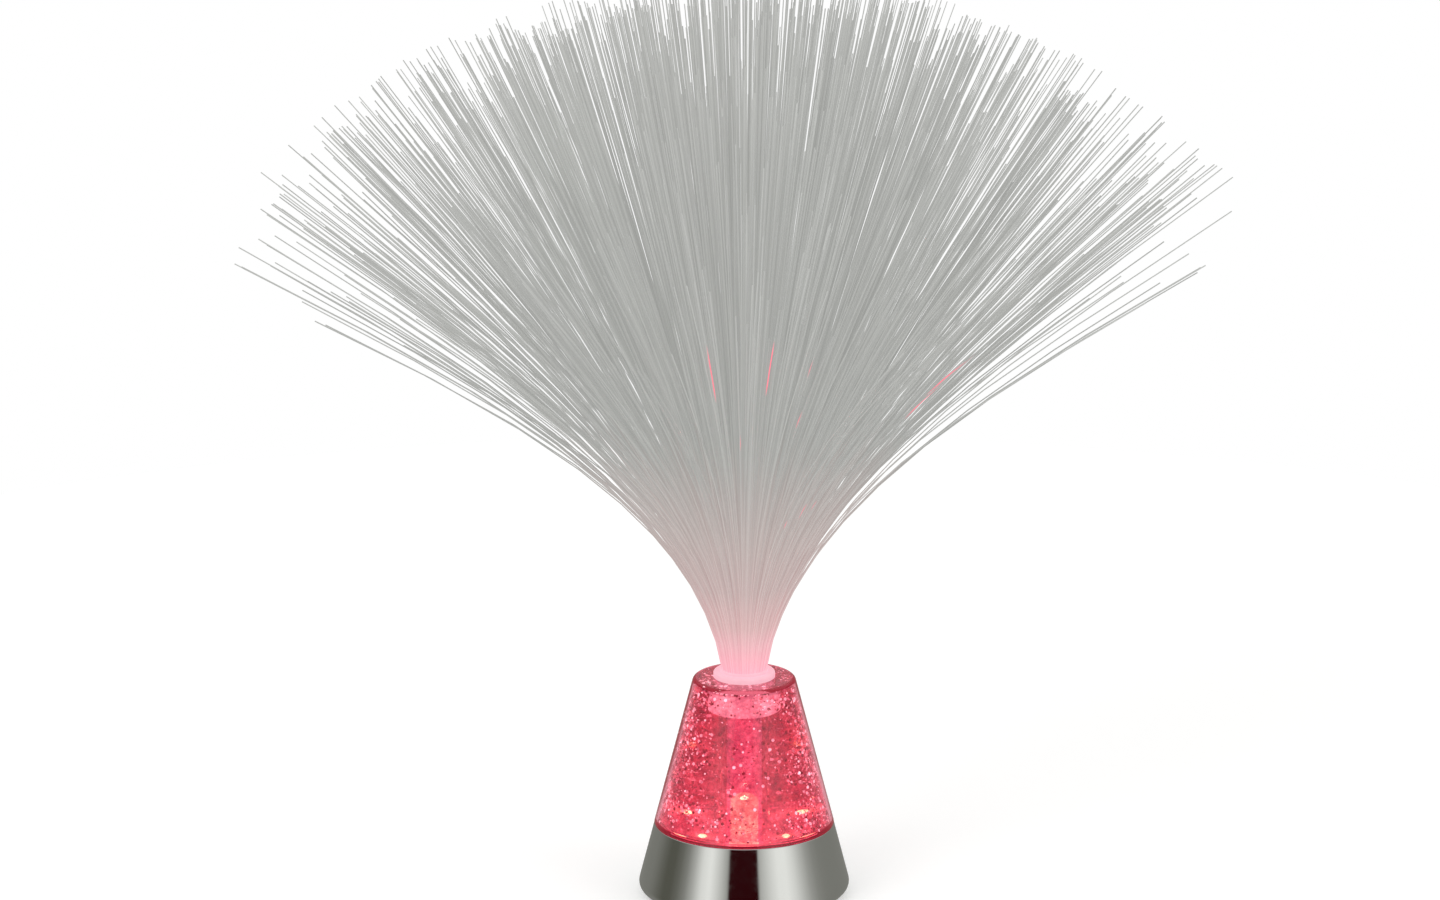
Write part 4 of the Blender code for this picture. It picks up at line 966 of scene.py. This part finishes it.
class LAMP_OT_battery_bay(bpy.types.Operator):
    """Finishes the three cells"""

    bl_idname = "lamp.battery_bay"
    bl_label = "Battery Bay"

    def execute(self, context):
        repaint(moulded("shrunk_cell_jacket", "#2E3237", "#3A3F45", 0.3, 0.8, 0.01), "cell_")
        repaint(moulded("zinc_plated_spring", "#A9ABB0", "#BDBEBB", 0.32, 1.2, 0.01, Metallic=1.0),
                "cell_spring_")
        return {"FINISHED"}


class LAMP_OT_light_board(bpy.types.Operator):
    """Finishes the diodes' board, its parts and the leads"""

    bl_idname = "lamp.light_board"
    bl_label = "Light Board"

    def execute(self, context):
        repaint(moulded("masked_fibreglass", "#D9D9D2", "#E4E4DE", 0.45, 0.6, 0.02), "led_board")
        repaint(lit_styrene("diode_epoxy", "#FFD98A", 6.0, "#FF9A70"), "led_centre", "led_ring_")
        repaint(moulded("potting_epoxy", "#0C0C0C", "#151515", 0.35, 1.5, 0.05), "driver_chip")
        repaint(moulded("fired_ceramic", "#1E1E22", "#2A2A2E", 0.4, 0.4, 0.01), "resistor_")
        repaint(moulded("red_pvc", "#B01818", "#BE2424", 0.45, 0.4, 0.01), "wire_red", "wire_switch")
        repaint(moulded("black_pvc", "#151515", "#1E1E1E", 0.45, 0.4, 0.01), "wire_black")
        return {"FINISHED"}


class LAMP_OT_bottle(bpy.types.Operator):
    """Makes the clear bottle, its floor and the light tube"""

    bl_idname = "lamp.bottle"
    bl_label = "Bottle"

    def execute(self, context):
        # painted light: the clear bottle gets a pink tint and a faint pink glow for the diodes' light
        # in it
        styrene = clear_styrene("moulded_clear_styrene", "#E6A6B4", "#FF3058", 0.06)
        dress(bottle_shell(), styrene, "base", "clear_styrene", "glitter_bottle")
        floor = turned("bottle_floor_disc", [
            (0, FLOOR_LOW.z), (FLOOR_HIGH.x, FLOOR_LOW.z),
            (FLOOR_HIGH.x, FLOOR_HIGH.z), (0, FLOOR_HIGH.z)])
        dress(floor, lit_floor_styrene(), "base", "clear_styrene", "bottle_floor")
        lens = bmesh.new()
        bmesh.ops.create_uvsphere(lens, u_segments=SMALL_STEPS, v_segments=12, radius=LENS_R)
        squat = Matrix.Diagonal((1, 1, LENS_SQUASH, 1))
        lenses = scattered("floor_lenses", lens, [
            Matrix.Translation((*at.xy, FLOOR_HIGH.z)) @ squat for at in diode_places()])
        # painted glow: the floor's lenses over the diodes shine
        shining = lit_styrene("lit_lens_styrene", "#F4FF9C", 9.0, "#FFF4B0")
        dress(lenses, shining, "base", "clear_styrene")
        guide_top = GUIDE_HIGH.z - GUIDE_TIP_H
        guide = turned("tube_guide", [
            (0, GUIDE_LOW.z), (GUIDE_HIGH.x, GUIDE_LOW.z), (GUIDE_HIGH.x, guide_top),
            (GUIDE_TIP_R, guide_top), (0, GUIDE_HIGH.z)], SMALL_STEPS)
        dress(guide, lit_guide_styrene(), "base", "clear_styrene", "light_guide")
        bore = TUBE_HIGH.x - TUBE_WALL
        tube = turned("light_tube_wall", [
            (TUBE_HIGH.x, TUBE_LOW.z), (TUBE_HIGH.x, TUBE_HIGH.z),
            (bore, TUBE_HIGH.z), (bore, TUBE_LOW.z)])
        # painted glow of the lit tube wall
        lit_wall = clear_styrene("lit_tube_styrene", "#FFE0E6", "#C8ECF4", 0.6)
        dress(tube, lit_wall, "base", "clear_styrene", "light_tube")
        return {"FINISHED"}


class LAMP_OT_glitter(bpy.types.Operator):
    """Fills the bottle with lit liquid, flakes and bubbles"""

    bl_idname = "lamp.glitter"
    bl_label = "Glitter Liquid"

    def execute(self, context):
        settings = context.scene.lamp_bottle
        body = liquid_body(settings.layer)
        dress(body, glitter_water(tuple(context.scene.lamp_colours.liquid)), "base", "glitter_water",
              "glitter_liquid")
        chance = random.Random(settings.seed)
        silver = polyester_foil("silvered_foil", "#D8D8DC", 0.25)
        for layer, share in FLAKE_LAYERS:
            places = flake_places(settings, chance, round(settings.flakes * share), layer)
            # painted glint value of each flake
            painted_glints = [chance.random() for _ in places]
            flakes = scattered(layer + "_flakes", flake_shape(), places, painted_glints)
            dress(flakes, silver, "base", "glitter_water")
        bubble = bmesh.new()
        bmesh.ops.create_uvsphere(bubble, u_segments=8, v_segments=6, radius=0.5)
        places = []
        ceiling = BOTTLE_HIGH.z - BOTTLE_ROOF
        for _ in range(settings.bubbles):
            size = chance.uniform(BUBBLE_LEAST, BUBBLE_MOST)
            turn = -math.pi / 2 + chance.gauss(0, BUBBLE_SPREAD)
            radius = cone_radius(ceiling) - BOTTLE_WALL - settings.layer - size * 0.3
            at = (radius * math.cos(turn), radius * math.sin(turn), ceiling - size * 0.6)
            places.append(Matrix.Translation(at) @ Matrix.Scale(size, 4))
        # painted reflection: each bubble is made dark or bright, like a mirror bead
        painted_glints = [chance.choice(BUBBLE_FLASHES) for _ in places]
        bubbles = scattered("trapped_bubbles", bubble, places, painted_glints)
        dress(bubbles, polyester_foil("bubble_skin", "#FFE6EA", 0.1), "base", "glitter_water")
        return {"FINISHED"}


class LAMP_OT_fibre_plug(bpy.types.Operator):
    """Makes the lit collar, the ferrule and the potted root of the fibres"""

    bl_idname = "lamp.fibre_plug"
    bl_label = "Collar and Plug"

    def execute(self, context):
        glow = tuple(context.scene.lamp_colours.glow)
        bore = BARREL_R - COLLAR_WALL
        flange_low = COLLAR_HIGH.z - FLANGE_H
        flange_r = COLLAR_HIGH.x
        collar = turned("lit_collar", [
            (BARREL_R, COLLAR_LOW.z),
            (BARREL_R, flange_low),
            (flange_r, flange_low),
            *arc(flange_r - FLANGE_ROUND, COLLAR_HIGH.z - FLANGE_ROUND, FLANGE_ROUND, 0, math.pi / 2),
            (bore, COLLAR_HIGH.z),
            (bore, COLLAR_LOW.z + LIP_H),
            (LIP_BORE, COLLAR_LOW.z + LIP_H),
            (LIP_BORE, COLLAR_LOW.z),
        ])
        # painted light on the collar: bright inside below, a painted shade band under the bottle's
        # roof, the pink glow at the flange
        inside = (1.7, 1.7, 1.65)
        painted_roof_shade = (0.6, 0.3, 0.36)
        nylon = lit_nylon("lit_white_nylon", COLLAR_LOW.z, COLLAR_HIGH.z, [
            (0.0, inside), (0.64, inside), (0.69, painted_roof_shade), (0.83, painted_roof_shade), (0.88, glow), (1.0, glow)])
        dress(collar, nylon, "base", "white_nylon", "fibre_collar")
        ferrule_bore = FERRULE_HIGH.x - FERRULE_WALL
        ferrule = turned("lit_ferrule", [
            (FERRULE_HIGH.x, FERRULE_LOW.z), (FERRULE_HIGH.x, FERRULE_HIGH.z - FERRULE_EDGE),
            (FERRULE_HIGH.x - FERRULE_EDGE, FERRULE_HIGH.z), (ferrule_bore, FERRULE_HIGH.z),
            (ferrule_bore, FERRULE_LOW.z)])
        sleeve = lit_nylon(
            "lit_nylon_sleeve", FERRULE_LOW.z, FERRULE_HIGH.z, [(0.0, glow), (1.0, glow)])
        dress(ferrule, sleeve, "fibre_spray", "white_nylon", "fibre_ferrule")
        root = turned("potted_root", [
            (0, FERRULE_LOW.z), (ferrule_bore - FIT, FERRULE_LOW.z),
            (ferrule_bore - FIT, FERRULE_HIGH.z - FIT), (0, FERRULE_HIGH.z - FIT)])
        potting = lit_nylon(
            "lit_potting", FERRULE_LOW.z, FERRULE_HIGH.z, [(0.0, inside), (1.0, glow)])
        dress(root, potting, "fibre_spray", "clear_acrylic_fibre")
        return {"FINISHED"}


class LAMP_OT_fibre_spray(bpy.types.Operator):
    """Makes the fountain of fibres in the place of the six CAD tufts"""

    bl_idname = "lamp.fibre_spray"
    bl_label = "Fibre Spray"

    def execute(self, context):
        settings = context.scene.lamp_fibres
        paths, azimuth = fibre_paths(settings)
        chance = np.random.default_rng(settings.seed + 1)
        tones = chance.random(settings.count)
        leaks = leaking_points(paths, context.scene.lamp_stage.elevation)
        material = acrylic_fibre(tuple(context.scene.lamp_colours.fibre))
        sector = math.tau / TUFTS
        for index in range(TUFTS):
            mine = (azimuth // sector).astype(int) == index
            piece = fibre_tuft(
                f"fibre_lock_{index + 1}", paths[mine], settings.fibre_r, tones[mine], leaks[mine])
            dress(piece, material, "fibre_spray", "clear_acrylic_fibre", f"fibre_tuft_{index + 1}")
        return {"FINISHED"}


class LAMP_OT_stage(bpy.types.Operator):
    """Sets the floor, the studio light and the camera"""

    bl_idname = "lamp.stage"
    bl_label = "Stage"

    def execute(self, context):
        settings = context.scene.lamp_stage
        context.scene.view_settings.view_transform = "Standard"
        make_world(context.scene)
        make_floor(settings.floor_r)
        make_lamps()
        make_camera(context.scene, settings)
        return {"FINISHED"}


class LAMP_PT_panel(bpy.types.Panel):
    """Lists the lamp's settings and its operators"""

    bl_idname = "LAMP_PT_panel"
    bl_label = "Fibre Lamp"
    bl_space_type = "VIEW_3D"
    bl_region_type = "UI"
    bl_category = "Fibre Lamp"

    def draw(self, context):
        for group in GROUPS:
            box = self.layout.box()
            settings = getattr(context.scene, group)
            for name in settings.bl_rna.properties.keys():
                if name not in ("rna_type", "name"):
                    box.prop(settings, name)
        for operator in OPERATORS:
            self.layout.operator(operator.bl_idname)


GROUPS = {
    "lamp_fibres": LampFibres, "lamp_bottle": LampBottle, "lamp_colours": LampColours,
    "lamp_stage": LampStage,
}
OPERATORS = (
    LAMP_OT_chromed_base, LAMP_OT_underside, LAMP_OT_battery_bay, LAMP_OT_light_board, LAMP_OT_bottle,
    LAMP_OT_glitter, LAMP_OT_fibre_plug, LAMP_OT_fibre_spray, LAMP_OT_stage,
)


def register():
    for part in (*GROUPS.values(), *OPERATORS, LAMP_PT_panel):
        bpy.utils.register_class(part)
    for name, group in GROUPS.items():
        setattr(bpy.types.Scene, name, PointerProperty(type=group))


def unregister():
    for name in GROUPS:
        delattr(bpy.types.Scene, name)
    for part in reversed((*GROUPS.values(), *OPERATORS, LAMP_PT_panel)):
        bpy.utils.unregister_class(part)


def main():
    register()
    for operator in OPERATORS:
        group, name = operator.bl_idname.split(".")
        getattr(getattr(bpy.ops, group), name)()


if __name__ == "__main__":
    main()
